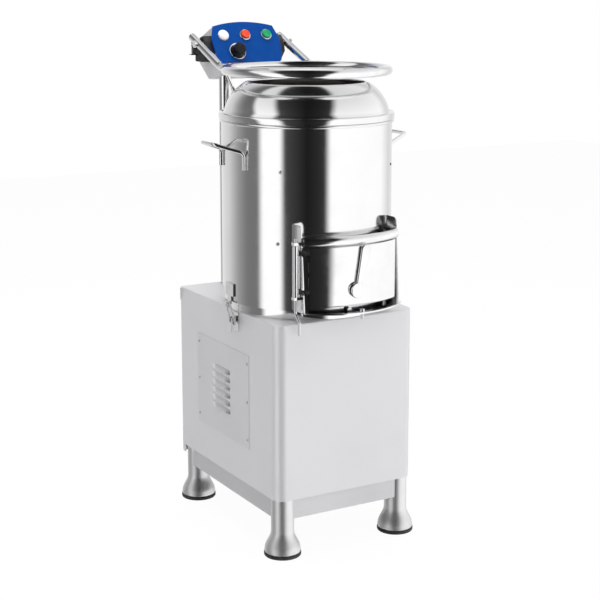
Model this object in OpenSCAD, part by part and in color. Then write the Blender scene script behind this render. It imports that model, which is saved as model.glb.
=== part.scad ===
// Electric potato peeler: abrasive drum on a four-legged motor cabinet.
// Millimetres, +Z up, -Y towards the user, floor at zero height.
// Sizes are set about the drum axis; the finished part is centred over its footprint.

/* [Cabinet] */
// Width of the cabinet, side to side
cabinet_w = 350; // [345:1:356]
// Depth from the drum axis to the cabinet front
cabinet_front = 178; // [176:1:184]
// Depth from the drum axis to the cabinet back
cabinet_back = 297; // [292:1:304]
// Height of the cabinet top above the floor
cabinet_top = 521; // [515:1:530]
// Height of the lower edge of the front and side sheets
cabinet_bottom = 130; // [115:1:150]
// Radius of the two front corners
corner_r = 25; // [24:1:30]
// Thickness of the folded sheets
sheet = 2; // [1.5:0.1:2.5]
// Thickness of the top deck
deck_t = 3; // [2:0.5:4]

/* [Legs] */
// Radius of a leg tube
leg_r = 25.4; // [20:0.1:25.4]
// Wall of a leg tube
leg_wall = 1.5; // [1.2:0.1:2.5]
// Radius of the flared foot
foot_r = 40; // [34:1:46]
// Height at which the flare ends
flare_top = 56; // [45:1:70]
// Height of the rubber pad
pad_h = 9; // [6:1:14]

/* [Drum] */
// Outer radius of the drum wall
drum_r = 190; // [188:0.5:192]
// Height of the drum floor above the deck
drum_lift = 22; // [20:1:26]
// Height of the drum wall
drum_h = 397; // [380:1:420]
// Outer radius of the neck under the drum
neck_r = 178; // [172:1:182]
// Thickness of the abrasive liner
liner_t = 3.8; // [2:0.1:5]

/* [Lid] */
// Height of the dome above its rim
dome_h = 66; // [58:1:72]
// Radius of the open mouth in the dome
mouth_r = 129; // [120:1:131]
// Centreline radius of the hoop handle
hoop_r = 180; // [174:1:184]
// Height of the hoop above the drum edge
hoop_lift = 106; // [98:1:112]
// Radius of the hoop tube
hoop_tube_r = 10; // [8:0.5:11]
// Sideways distance of the lid arms from the middle
arm_x = 117; // [115:1:120]
// Slope of the lid arms
arm_slope = 23; // [20:1:26]

/* [Control housing] */
// Width of the housing between its cheeks
housing_w = 162; // [158:1:166]
// Depth of the housing, front to back
housing_depth = 123; // [118:1:128]
// Height of the housing
housing_h = 125; // [120:1:130]
// Radius of a support post
post_r = 15; // [13:0.5:15]
// Sideways distance of a post from the middle
post_x = 60; // [54:1:62]

/* [Discharge door] */
// Distance of the curved door plate from the drum wall
door_reach = 35; // [32:1:38]
// Half width of the door plate
door_half_w = 108; // [100:1:109]
// Height of the door plate
door_h = 129; // [118:1:132]
// Radius of the hinge rod
rod_r = 3; // [2.5:0.1:3.5]

/* [Drive] */
// Gap between the abrasive disc and the liner
disc_gap = 8; // [5:0.5:19]
// Radius of the drive shaft
shaft_r = 12.5; // [11:0.1:13]
// Belt line radius of the driven pulley
big_pulley_r = 96; // [88:1:104]
// Belt line radius of the motor pulley
small_pulley_r = 24; // [20:0.5:28]
// Radius of the motor body
motor_r = 68; // [60:1:70]

/* [Hidden] */
$fn = 96;
fine_fn = 360;
// Overrun of every cut past the face it opens
over = 1;
// Gap between curved faces of parts that don't touch
air = 0.3;
// Radial play of a running fit
fit = 0.05;
// A full turn and its half, in degrees
full_turn = 360;
half_turn = 180;
quarter_turn = 90;

// Cabinet details
leg_inset = leg_r + sheet;
leg_x = cabinet_w / 2 - leg_inset;
leg_front_y = leg_inset - cabinet_front;
leg_rear_y = cabinet_back - leg_inset;
deck_under = cabinet_top - deck_t;
flare_steps = 8;
flare_foot_share = 0.12;
pad_out = 1;
pad_edge = 1.5;
skirt_bottom = 85;
skirt_inset = 7;
skirt_lap = 20;
rear_flange = 13;
rear_drop = 18;
side_notch = 14;

// Access cover in the left side, with pressed louvres
cover_t = 1.2;
cover_y0 = -50;
cover_len = 255;
cover_z0 = 214;
cover_h = 214;
cover_lap = 15;
louvre_count = 6;
louvre_y0 = 40;
louvre_len = 86;
louvre_z0 = 271;
louvre_pitch = 18.4;
louvre_h = 11;
louvre_d = 4;
screw_inset_y = 15;
screw_inset_z = 20;
screw_rows = 3;
screw_head_r = 3.5;
screw_head_h = 1.8;
screw_r = 2;

// Drum and what stands in it
floor_z = cabinet_top + drum_lift;
drum_top = floor_z + drum_h;
drum_inner_r = drum_r - sheet;
bead_r = 3.5;
bead_out = 1;
floor_t = 3;
collar_r = 44;
collar_h = 17;
liner_gap = 0.2;
disc_r = drum_inner_r - liner_gap - liner_t - disc_gap;
liner_lift = 24;
liner_drop = 80;
liner_bottom = floor_z + liner_lift;
liner_top = drum_top - liner_drop;
window_half_w = 96;
window_lift = 26;
window_bottom = floor_z + window_lift;
window_h = 118;
bolt_head_r = 4;
upper_bolt_drop = 99;
lower_bolt_lift = 144;
back_bolt_drop = 35;
upper_bolt_z = drum_top - upper_bolt_drop;
lower_bolt_z = floor_z + lower_bolt_lift;
back_bolt_z = drum_top - back_bolt_drop;
upper_bolt_a = 47;
lower_bolt_a = 49;
back_bolt_a = 122;

// Drum handles, bent rod
handle_rod_r = 4;
handle_leg_r = 4.4;
handle_leg_y = 54;
handle_leg_h = 36;
handle_drop = 101;
handle_leg_z = drum_top - handle_drop;
handle_grip_y = 30;
handle_reach = 55;
handle_rise = 21;

// Discharge chute, whose flanges end near the door's edges
chute_half_w = 121;
door_r = drum_r + door_reach;
door_rim = 12;
door_edge_y = sqrt(pow(door_r, 2) - pow(chute_half_w, 2));
flange_t = 2;
lip_t = 3;
lip_lift = 3;
lip_z = floor_z + lip_lift;
lip_r = 169;
lip_reach = 65;
lip_back = drum_r + lip_reach - lip_r;
flange_h = 189;
flange_foot = 8.3;
flange_head = 3.7;
flange_top = floor_z + flange_h;
flange_foot_y = door_edge_y + flange_foot;
flange_head_y = door_edge_y - flange_head;
flange_round = 14;
bar_r = 10;
bar_lift = 155;
bar_path_r = door_r - door_rim / 2;
bar_half_angle = asin(chute_half_w / (bar_path_r - bar_r));
bar_z = floor_z + bar_lift;
stud_r = 3;
stud_in = 19;
stud_y = lip_back + lip_r - stud_in;
stud_len = 19;
stud_nut_r = 5.5;
stud_nut_h = 4.5;

// Door on its hinge rod
door_t = 2;
door_lift = 15;
door_bottom = floor_z + door_lift;
seal_depth = 8;
seal_w = 7;
rod_x = 129.5;
rod_back = 14;
rod_rise = 8;
rod_y = drum_r - rod_back;
rod_top = bar_z + rod_rise;
rod_step_z = floor_z;
rod_step = 16;
rod_step_drop = 16;
rod_drop = 21;
rod_bottom = cabinet_top - rod_drop;
rod_ball_r = 3.3;
sleeve_r = 6.5;
lug_t = 6;
lug_half = 6;
sleeve_lift = 22;
sleeve_rise = 4;
sleeve_bottom = door_bottom + sleeve_lift;
sleeve_top = door_bottom + door_h + sleeve_rise;
strap_t = 3;
strap_h = 10;
strap_len = 34;
strap_angle = 25;
strap_low = 6;
strap_high = 12;
notch_back = rod_y - sheet;
notch_side = 15;
jamb_edge_x = 109.5;
jamb_step = 1;

// Door lever and cam
lever_x = -8;
lever_lift = 34;
lever_z = door_bottom + lever_lift;
lever_hub_r = 17;
lever_hub_t = 9;
lever_gap = 1;
lever_face_y = door_r + lever_gap;
lever_arm_t = 6;
lever_arm_len = 88;
lever_root_r = 6;
lever_tip_r = 12;
lever_tilt = 13;
lever_shaft_r = 5;
cam_in = 26;
cam_y = door_r - cam_in;
cam_t = 6;
cam_half_w = 6;
cam_gap = 0.6;

// Shaft, disc and bearings
disc_lift = 29;
disc_z = floor_z + disc_lift;
disc_t = 6;
disc_hub_r = 24;
disc_hub_drop = 6;
disc_hub_rise = 14;
lobe_count = 3;
lobe_r = 9;
lobe_inner = 40;
lobe_outer = 160;
paddle_h = 12;
paddle_t = 4;
paddle_inner = 60;
paddle_outer = 168;
nut_r = 17;
nut_h = 12;
shaft_rise = 4;
shaft_top = disc_z + disc_t + disc_hub_rise + nut_h + shaft_rise;
housing_tube_r = 36;
bearing_r = 26;
bearing_w = 15;
seal_t = 6;
collar_rise = 4;
housing_drop = 53;
tube_top = floor_z + collar_h - collar_rise;
tube_bottom = cabinet_top - housing_drop;
shaft_room = 3;
flange_plate_r = 62;
flange_plate_t = 10;
pulley_h = 22;
pulley_gap = 5;
pulley_top = tube_bottom - pulley_gap;
groove_depth = 8;
groove_lip = 3;
groove_slope = 1;
belt_h = 13;
belt_t = 8;
belt_seat = 3.6;
shaft_bottom = pulley_top - pulley_h - pulley_gap;

// Motor on its hanging bracket
motor_y = 190;
motor_h = 200;
motor_cap_h = 26;
motor_fin_count = 16;
motor_fin = 2;
motor_fin_t = 2.5;
bracket_t = 6;
bracket_half_w = 88;
bracket_front_y = 126;
bracket_back_y = 257;
bracket_gap = 11;
bracket_top = pulley_top - pulley_h - bracket_gap;
motor_top = bracket_top - bracket_t;
hanger_r = 6;
hanger_x = 78;
hanger_y0 = 138;
hanger_y1 = 245;
motor_shaft_r = 9;
rotor_depth = 20;
terminal_w = 40;
terminal_len = 60;
terminal_h = 80;
terminal_drop = 140;
terminal_z = motor_top - terminal_drop;

// Pipes and gland
drain_x = 98;
drain_y = 100;
drain_r = 20;
drain_wall = 1.5;
drain_drop = 30;
drain_gap = 3;
drain_z = bracket_top - drain_drop;
drain_top = floor_z - drain_gap;
drain_out = 6;
spigot_r = 19;
spigot_len = 36;
spout_r = 17.5;
spout_drop = 18;
inlet_r = 10.5;
inlet_bore_r = 7.5;
inlet_len = 24;
inlet_drop = 55;
inlet_collar_r = 14;
inlet_collar = 3;
inlet_z = drum_top - inlet_drop;
gland_inset = 65;
gland_x = gland_inset - cabinet_w / 2;
gland_z = 180;
gland_r = 12;
gland_thread_r = 8;
gland_len = 18;
gland_inside = 10;
gland_bore_r = 5;

// Toggle latches, given for the left side
latch_y = 6;
keeper_half_w = 18;
keeper_h = 28;
keeper_t = 3.2;
keeper_lift = 13;
keeper_z = floor_z + keeper_lift;
hook_half_w = 8;
hook_t = 2;
hook_drop = 3;
hook_z = floor_z - hook_drop;
hook_reach = 14.5;
hook_lip = 1.2;
base_half_w = 10;
base_h = 42;
base_drop = 47;
base_z = cabinet_top - base_drop;
ear_half_w = 4.5;
ear_half_h = 6;
pivot_out = 11;
pivot_drop = 19;
pivot_x = cabinet_w / 2 + pivot_out;
pivot_z = cabinet_top - pivot_drop;
pivot_r = 2;
cheek_in = 5;
cheek_out = 7.3;
lever_len = 30;
lever_plate_x = 4;
lever_plate_t = 2;
lever_top_gap = 7;
lever_tail_half_w = 4.5;
bail_drop = 9;
bail_r = 1.6;
bail_ball_r = 1.76;
bail_y = 10.3;
bail_out = 7;
bail_bar_x = drum_r + bail_out;

// Lid dome, hoop and struts
lid_gap = 0.4;
lid_z = drum_top + lid_gap;
rim_r = 195;
rim_h = 14;
dome_foot_r = 184;
dome_top_r = 136;
dome_bulge_r = 96;
dome_steps = 12;
dome_t = 2;
mouth_lip = 4;
locate_r = 184.4;
locate_drop = 8;
hoop_z = drum_top + hoop_lift;
arm_step = 0.5;
arm_r = hoop_tube_r - arm_step;
arm_ball_r = hoop_tube_r;
arm_bend_y = 187;
arm_end_y = 336;
arm_rise = tan(arm_slope);
hinge_y = 300;
hinge_z = hoop_z + (hinge_y - arm_bend_y) * arm_rise;
strut_r = 4;
strut_foot_r = 156;
strut_angles = [30, 90, 150];
stop_w = 14;
stop_t = 3;
stop_drop = 42;
stop_tab = 16;

// Control housing outline, as shares of its depth and height
housing_y = 260;
housing_rise = 69;
housing_z = drum_top + housing_rise;
housing_t = 1.5;
foot_share = 0.328;
brow_share = 0.374;
housing_shares = [[0, foot_share], [0.04, 0.104], [0.23, 0.016], [0.545, 0],
    [0.935, 0.288], [1, 0.736], [brow_share, 1]];
housing_points = [for (p = housing_shares) [p[0] * housing_depth, p[1] * housing_h]];
panel_lean = atan2(brow_share * housing_depth, (1 - foot_share) * housing_h);
panel_foot_z = housing_z + foot_share * housing_h;
post_y = 279;
post_wall = 1.5;
post_in = 30;
post_top = housing_z + post_in;

// Fascia outline in the sloping panel plane
fascia_t = 2.5;
fascia_h = 106;
fascia_half_w = 90.5;
fascia_side_shares = [[0.895, 0], [0.972, 0.19], [0.994, 0.42], [1, 0.6], [0.884, 0.896]];
arch_steps = 10;

// Panel fittings
fitting_row = 71;
fitting_pitch = 57;
timer_x = -30;
timer_row = 29;
lens_r = 13.5;
lens_h = 5;
bezel_r = 14;
bezel_h = 3;
button_r = 10.5;
button_h = 7;
button_stem_r = 4;
button_stem = 5.5;
button_seat = 0.6;
switch_half_w = 11;
switch_depth = 34;
stem_hole = 9;
dial_r = 21;
dial_h = 2;
knob_r = 16.5;
knob_h = 16;
knob_gap = 0.4;
knob_stem_r = 3;
knob_stem = 12;
pointer_w = 2.4;
pointer_d = 1.2;

// Lid hinge blocks and pins
block_gap = 0.4;
block_in = housing_w / 2;
block_out = arm_x - hoop_tube_r - block_gap;
block_shares = [[-0.35, -0.45], [0.1, -0.95], [1, -0.95], [1, -0.55], [0.45, 0.32],
    [0.1, 0.42], [-0.2, 0.15]];
block_size = 45;
pin_r = 6;
pin_head_r = 8.5;
pin_head_t = 3;
pin_tail = 5;

// The finished part is centred over its front and back reach
front_reach = lip_back + lip_r;
back_reach = housing_y + housing_depth;
mid_y = (back_reach - front_reach) / 2;

// Point of a convex outline moved inwards by d, from its two neighbours
function inset_corner(a, b, c, d) =
    let (u = (b - a) / norm(b - a), v = (c - b) / norm(c - b),
         n = [-u[1], u[0]], m = [-v[1], v[0]])
    b + (n + m) * d / (1 + n * m);
function inset(points, d) = [for (i = [0:len(points) - 1])
    inset_corner(points[(i + len(points) - 1) % len(points)], points[i],
        points[(i + 1) % len(points)], d)];

// Height of the dome wall and its radius along an arc from foot to mouth
dome_chord = [dome_top_r - dome_foot_r, dome_h];
dome_half = asin(norm(dome_chord) / 2 / dome_bulge_r);
dome_dir = atan2(dome_chord[1], dome_chord[0]);
function dome_point(share, inner) =
    let (a = dome_dir - quarter_turn + dome_half * (2 * share - 1),
         mid = [dome_foot_r, 0] + dome_chord / 2,
         hub = mid - dome_bulge_r * cos(dome_half)
             * [cos(dome_dir - quarter_turn), sin(dome_dir - quarter_turn)])
    hub + (dome_bulge_r - inner) * [cos(a), sin(a)];

module placed() translate([0, -mid_y, 0]) children();
module both_sides() {
    children();
    mirror([1, 0, 0]) children();
}
module tube(r, wall, h) difference() {
    cylinder(r = r, h = h);
    translate([0, 0, -over]) cylinder(r = r - wall, h = h + 2 * over);
}
// Round bar between two points
module bar(a, b, r) {
    d = b - a;
    translate(a)
        rotate([0, acos(d[2] / norm(d)), atan2(d[1], d[0])])
            cylinder(r = r, h = norm(d));
}
// Round bar along several points, with ball joints at the bends
module bent_rod(points, r, ball_r) {
    for (i = [0:len(points) - 2]) bar(points[i], points[i + 1], r);
    for (i = [1:len(points) - 2]) translate(points[i]) sphere(r = ball_r);
}
// Slice of a ring about the drum axis, centred on the front
module front_arc(r_out, r_in, h, half_angle) rotate([0, 0, -quarter_turn - half_angle])
    rotate_extrude(angle = 2 * half_angle) translate([r_in, 0]) square([r_out - r_in, h]);
// Extrusion of a side view (y, z) across the middle
module side_view(w) rotate([quarter_turn, 0, quarter_turn])
    translate([0, 0, -w / 2]) linear_extrude(w) children();
// Frame of the sloping panel: x across, y up the slope, z outwards
module on_panel() translate([0, housing_y, panel_foot_z])
    rotate([quarter_turn - panel_lean, 0, 0]) children();
// Upright block with two rounded front corners
module cabinet_block(inset_d, z, h) {
    w = cabinet_w - 2 * inset_d;
    r = corner_r - inset_d;
    front = inset_d - cabinet_front;
    back = cabinet_back - rear_flange + (inset_d > 0 ? over : 0);
    translate([-w / 2, front + r, z]) cube([w, back - front - r, h]);
    translate([r - w / 2, front, z]) cube([w - 2 * r, r + over, h]);
    both_sides() translate([w / 2 - r, front + r, z]) cylinder(r = r, h = h);
}

// Cabinet
module cabinet_shell() placed() color("lightgray") difference() {
    cabinet_block(0, cabinet_bottom, deck_under - cabinet_bottom);
    cabinet_block(sheet, cabinet_bottom - over, deck_under - cabinet_bottom + 2 * over);
    translate([-cabinet_w / 2 - over, cover_y0 + cover_lap, cover_z0 + cover_lap])
        cube([sheet + 2 * over, cover_len - 2 * cover_lap, cover_h - 2 * cover_lap]);
    both_sides() translate([leg_x - leg_r, leg_rear_y - leg_r, cabinet_bottom - over])
        cube([leg_inset + leg_r + over, 2 * leg_r, side_notch + over]);
}
module top_deck() placed() color("whitesmoke") difference() {
    union() {
        cabinet_block(0, deck_under, deck_t);
        translate([-cabinet_w / 2, cabinet_back - rear_flange - over, deck_under])
            cube([cabinet_w, rear_flange + over, deck_t]);
    }
    translate([0, 0, deck_under - over])
        cylinder(r = housing_tube_r, h = deck_t + 2 * over);
    translate([drain_x, drain_y, deck_under - over])
        cylinder(r = drain_r, h = deck_t + 2 * over);
}
module skirt_panels() placed() color("silver") difference() {
    h = cabinet_bottom + skirt_lap - skirt_bottom;
    union() {
        for (y = [skirt_inset - cabinet_front, cabinet_back - skirt_inset - sheet])
            translate([-leg_x, y, skirt_bottom]) cube([2 * leg_x, sheet, h]);
        both_sides() translate([cabinet_w / 2 - skirt_inset - sheet, leg_front_y, skirt_bottom])
            cube([sheet, leg_rear_y - leg_front_y, h]);
    }
    both_sides() for (y = [leg_front_y, leg_rear_y])
        translate([leg_x, y, skirt_bottom - over]) cylinder(r = leg_r, h = h + 2 * over);
}
module rear_panel() placed() color("lightgray") difference() {
    union() {
        translate([-cabinet_w / 2, cabinet_back - sheet, cabinet_bottom - rear_drop])
            cube([cabinet_w, sheet, deck_under - cabinet_bottom + rear_drop]);
        both_sides() translate([cabinet_w / 2 - sheet, cabinet_back - rear_flange,
                cabinet_bottom - rear_drop])
            cube([sheet, rear_flange, deck_under - cabinet_bottom + rear_drop]);
    }
    translate([drain_x, cabinet_back - sheet - over, drain_z]) rotate([-quarter_turn, 0, 0])
        cylinder(r = drain_r, h = sheet + 2 * over);
    translate([gland_x, cabinet_back - sheet - over, gland_z]) rotate([-quarter_turn, 0, 0])
        cylinder(r = gland_thread_r, h = sheet + 2 * over);
}
module louvre() {
    rotate([quarter_turn, 0, 0]) translate([0, 0, -louvre_len]) linear_extrude(louvre_len)
        polygon([[0, louvre_h], [-louvre_d, 0], [cover_t - louvre_d, 0],
            [0, louvre_h - cover_t * louvre_h / louvre_d]]);
    for (y = [0, louvre_len - cover_t])
        translate([0, y + cover_t, 0]) rotate([quarter_turn, 0, 0]) linear_extrude(cover_t)
            polygon([[0, louvre_h], [-louvre_d, 0], [0, 0]]);
}
module access_cover() placed() color("lightgray")
    translate([-cabinet_w / 2 - cover_t, 0, 0]) {
        difference() {
            translate([0, cover_y0, cover_z0]) cube([cover_t, cover_len, cover_h]);
            for (i = [0:louvre_count - 1])
                translate([-over, louvre_y0 + cover_t, louvre_z0 + i * louvre_pitch])
                    cube([cover_t + 2 * over, louvre_len - 2 * cover_t, louvre_h / 2]);
            screw_places() rotate([0, quarter_turn, 0])
                cylinder(r = screw_r, h = 2 * over + cover_t, center = true);
        }
        for (i = [0:louvre_count - 1])
            translate([0, louvre_y0, louvre_z0 + i * louvre_pitch]) louvre();
    }
module screw_places() {
    step = (cover_h - 2 * screw_inset_z) / (screw_rows - 1);
    for (y = [cover_y0 + screw_inset_y / 2, cover_y0 + cover_len - screw_inset_y / 2])
        for (i = [0:screw_rows - 1])
            translate([0, y, cover_z0 + screw_inset_z + i * step]) children();
}
module cover_screws() placed() color("dimgray")
    translate([-cabinet_w / 2 - cover_t, 0, 0]) screw_places() rotate([0, -quarter_turn, 0])
        union() {
            cylinder(r = screw_head_r, h = screw_head_h);
            translate([0, 0, -cover_t]) cylinder(r = screw_r, h = cover_t);
        }

// Legs and pads
module leg(x, y) placed() color("silver") translate([x, y, 0]) rotate_extrude()
    polygon(concat(
        [[0, pad_h], [foot_r, pad_h]],
        [for (i = [0:flare_steps]) let (share = i / flare_steps)
            [foot_r - (foot_r - leg_r) * (1 - cos(half_turn * share)) / 2,
             pad_h + (flare_top - pad_h) * (flare_foot_share + (1 - flare_foot_share) * share)]],
        [[leg_r, deck_under], [leg_r - leg_wall, deck_under],
         [leg_r - leg_wall, flare_top], [0, flare_top]]));
module leg_front_left() leg(-leg_x, leg_front_y);
module leg_front_right() leg(leg_x, leg_front_y);
module leg_rear_left() leg(-leg_x, leg_rear_y);
module leg_rear_right() leg(leg_x, leg_rear_y);
module foot_pads() placed() color("black")
    both_sides() for (y = [leg_front_y, leg_rear_y]) translate([leg_x, y, 0])
        rotate_extrude() polygon([[0, 0], [foot_r + pad_out - pad_edge, 0],
            [foot_r + pad_out, pad_edge], [foot_r + pad_out, pad_h - pad_edge],
            [foot_r, pad_h], [0, pad_h]]);

// Drum
module neck_ring() placed() color("gray")
    translate([0, 0, cabinet_top]) tube(neck_r, sheet, drum_lift);
module front_window(r_out) translate([-window_half_w, -r_out - over, window_bottom])
    cube([2 * window_half_w, r_out, window_h]);
module drum_shell() placed() color("silver") difference() {
    union() {
        translate([0, 0, floor_z]) tube(drum_r, sheet, drum_h);
        translate([0, 0, drum_top - bead_r]) rotate_extrude()
            translate([drum_r + bead_out, 0]) circle(r = bead_r);
        translate([0, drum_inner_r, inlet_z]) rotate([-quarter_turn, 0, 0]) {
            cylinder(r = inlet_r, h = inlet_len + sheet);
            cylinder(r = inlet_collar_r, h = inlet_collar + sheet);
        }
    }
    translate([0, 0, floor_z - over]) cylinder(r = drum_inner_r, h = drum_h + 2 * over);
    front_window(drum_r);
    translate([0, 0, inlet_z]) rotate([-quarter_turn, 0, 0])
        cylinder(r = inlet_bore_r, h = drum_r + inlet_len + over);
}
module drum_floor() placed() color("silver") difference() {
    union() {
        translate([0, 0, floor_z]) cylinder(r = drum_inner_r, h = floor_t);
        translate([0, 0, floor_z]) cylinder(r = collar_r, h = collar_h);
        translate([drain_x, drain_y, floor_z - spout_drop]) cylinder(r = spout_r, h = spout_drop);
    }
    translate([0, 0, floor_z - over])
        cylinder(r = collar_r - sheet, h = collar_h + 2 * over);
    translate([drain_x, drain_y, floor_z - spout_drop - over])
        cylinder(r = spout_r - drain_wall, h = spout_drop + floor_t + 2 * over);
}
module abrasive_liner() placed() color("dimgray") difference() {
    translate([0, 0, liner_bottom])
        tube(drum_inner_r - liner_gap, liner_t, liner_top - liner_bottom);
    front_window(drum_r);
}
module drum_bolt(angle, z) rotate([0, 0, angle]) translate([drum_r, 0, z])
    rotate([0, quarter_turn, 0]) difference() {
        sphere(r = bolt_head_r);
        translate([-bolt_head_r - over, -bolt_head_r - over, -bolt_head_r - over])
            cube([2 * (bolt_head_r + over), 2 * (bolt_head_r + over), bolt_head_r + over]);
    }
module drum_bolts() placed() color("gainsboro") both_sides() {
    drum_bolt(upper_bolt_a - quarter_turn, upper_bolt_z);
    drum_bolt(lower_bolt_a - quarter_turn, lower_bolt_z);
    drum_bolt(back_bolt_a - quarter_turn, back_bolt_z);
}
module drum_handle() {
    wall_x = sqrt(pow(drum_r + handle_leg_r - over, 2) - pow(handle_leg_y, 2));
    top_z = handle_leg_z + handle_leg_h;
    grip_x = wall_x + handle_reach + handle_rod_r;
    grip_z = top_z + handle_rise;
    difference() {
        for (y = [-handle_leg_y, handle_leg_y]) translate([wall_x, y, handle_leg_z])
            cylinder(r = handle_leg_r, h = handle_leg_h + handle_rod_r);
        translate([0, 0, handle_leg_z - over]) cylinder(r = drum_r, h = 2 * handle_leg_h);
    }
    for (y = [-1, 1])
        bar([wall_x, y * handle_leg_y, top_z], [grip_x, y * handle_grip_y, grip_z], handle_rod_r);
    bar([grip_x, -handle_grip_y, grip_z], [grip_x, handle_grip_y, grip_z], handle_rod_r);
    for (y = [-handle_grip_y, handle_grip_y])
        translate([grip_x, y, grip_z]) sphere(r = handle_leg_r);
}
module drum_handles() placed() color("gainsboro") both_sides() drum_handle();

// Discharge chute
module flange_view() {
    polygon([[-drum_r / 2, lip_z], [-flange_foot_y, lip_z],
        [-flange_head_y, flange_top - flange_round],
        [flange_round - flange_head_y, flange_top - flange_round],
        [flange_round - flange_head_y, flange_top], [-drum_r / 2, flange_top]]);
    translate([flange_round - flange_head_y, flange_top - flange_round])
        circle(r = flange_round);
}
module chute_frame() placed() color("silver") difference() {
    union() {
        both_sides() translate([chute_half_w - flange_t / 2, 0, 0])
            side_view(flange_t) flange_view();
        translate([0, 0, lip_z]) linear_extrude(lip_t) intersection() {
            translate([0, -lip_back]) circle(r = lip_r);
            translate([-chute_half_w, -front_reach]) square([2 * chute_half_w, front_reach]);
        }
        for (z = [sleeve_top + block_gap, sleeve_bottom - block_gap - lug_t])
            translate([-rod_x - lug_half, -rod_y - lug_half, z])
                cube([rod_x + lug_half - chute_half_w + flange_t / 2, 2 * lug_half, lug_t]);
        translate([0, 0, lip_z]) rotate([0, 0, -jamb_middle])
            front_arc(door_r - jamb_step, door_r - jamb_step - flange_t,
                bar_z - bar_r - jamb_step - lip_z, jamb_half_a);
    }
    for (z = strap_places) translate([-chute_half_w - flange_t, -door_r, z - over])
        cube([notch_side, door_r - notch_back, strap_h + 2 * over]);
    translate([0, 0, floor_z - over]) cylinder(r = drum_r, h = drum_h);
    translate([-rod_x, -rod_y, floor_z]) cylinder(r = rod_r, h = drum_h);
    translate([0, -stud_y, lip_z - over]) cylinder(r = stud_r, h = lip_t + 2 * over);
}
module chute_bar() placed() color("silver") intersection() {
    translate([0, 0, bar_z]) rotate([0, 0, -quarter_turn - bar_half_angle])
        rotate_extrude(angle = 2 * bar_half_angle) translate([bar_path_r, 0]) circle(r = bar_r);
    translate([flange_t - chute_half_w, -front_reach, bar_z - bar_r - over])
        cube([2 * (chute_half_w - flange_t), front_reach, 2 * (bar_r + over)]);
}
module chute_stud() placed() color("gray") translate([0, -stud_y, lip_z + lip_t]) {
    translate([0, 0, -stud_len]) cylinder(r = stud_r, h = stud_len);
    cylinder(r = stud_nut_r, h = stud_r);
    translate([0, 0, -lip_t - stud_nut_h]) cylinder(r = stud_nut_r, h = stud_nut_h, $fn = 6);
}
module hinge_rod() placed() color("gainsboro")
    bent_rod([[-rod_x, -rod_y, rod_top], [-rod_x, -rod_y, rod_step_z],
        [-rod_x, -rod_y - rod_step, rod_step_z - rod_step_drop],
        [-rod_x, -rod_y - rod_step, rod_bottom]], rod_r, rod_ball_r);

// Door that swings on the rod
door_half_a = asin(door_half_w / door_r);
rim_a = 0.6;
jamb_from = asin(jamb_edge_x / (door_r - jamb_step));
jamb_to = asin(chute_half_w / (door_r - jamb_step));
jamb_middle = (jamb_from + jamb_to) / 2;
jamb_half_a = (jamb_to - jamb_from) / 2;
module door_plate() placed() color("silver") translate([0, 0, door_bottom]) difference() {
    front_arc(door_r, door_r - door_rim, door_h, door_half_a);
    translate([0, 0, door_t]) front_arc(door_r - door_t, door_r - door_rim - over,
        door_h - 2 * door_t, door_half_a - rim_a);
    translate([lever_x, 0, lever_z - door_bottom]) rotate([quarter_turn, 0, 0])
        cylinder(r = lever_shaft_r + fit, h = door_r + over);
}
module door_seal() placed() color("black") translate([0, 0, door_bottom]) difference() {
    r_out = door_r - door_rim;
    front_arc(r_out, r_out - seal_depth, door_h, door_half_a);
    translate([0, 0, seal_w]) front_arc(r_out + over, r_out - seal_depth - over,
        door_h - 2 * seal_w, door_half_a - asin(seal_w / r_out));
}
strap_places = [sleeve_bottom + strap_low, sleeve_top - strap_high - strap_h];
module hinge_strap() difference() {
    translate([-rod_x, -rod_y, 0]) rotate([0, 0, -strap_angle])
        translate([0, -strap_t / 2, 0]) cube([strap_len, strap_t, strap_h]);
    translate([0, 0, -over])
        front_arc(door_r + over, door_r - 2 * door_rim, strap_h + 2 * over, door_half_a);
}
module door_hinge() placed() color("gainsboro") difference() {
    union() {
        translate([-rod_x, -rod_y, sleeve_bottom])
            cylinder(r = sleeve_r, h = sleeve_top - sleeve_bottom);
        for (z = strap_places) translate([0, 0, z]) hinge_strap();
    }
    translate([-rod_x, -rod_y, sleeve_bottom - over])
        cylinder(r = rod_r + fit, h = sleeve_top - sleeve_bottom + 2 * over);
}
module lever_handle() placed() color("gainsboro")
    translate([lever_x, -lever_face_y, lever_z]) rotate([quarter_turn, 0, 0]) {
        cylinder(r = lever_hub_r, h = lever_hub_t);
        translate([0, 0, (lever_hub_t - lever_arm_t) / 2]) rotate([0, 0, -lever_tilt])
            linear_extrude(lever_arm_t) {
                polygon([[-lever_root_r, 0], [lever_root_r, 0],
                    [lever_tip_r, lever_arm_len], [-lever_tip_r, lever_arm_len]]);
                translate([0, lever_arm_len]) circle(r = lever_tip_r);
            }
    }
module lever_cam() placed() color("gray") translate([lever_x, 0, lever_z])
    rotate([quarter_turn, 0, 0]) {
        reach = lever_z - lip_z - lip_t - cam_gap;
        translate([0, 0, cam_y - cam_t])
            cylinder(r = lever_shaft_r, h = lever_face_y - cam_y + cam_t);
        translate([0, 0, cam_y - cam_t]) linear_extrude(cam_t) {
            circle(r = 2 * cam_half_w);
            translate([-cam_half_w, cam_half_w - reach])
                square([2 * cam_half_w, reach - cam_half_w]);
            translate([0, cam_half_w - reach]) circle(r = cam_half_w);
        }
    }

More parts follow.
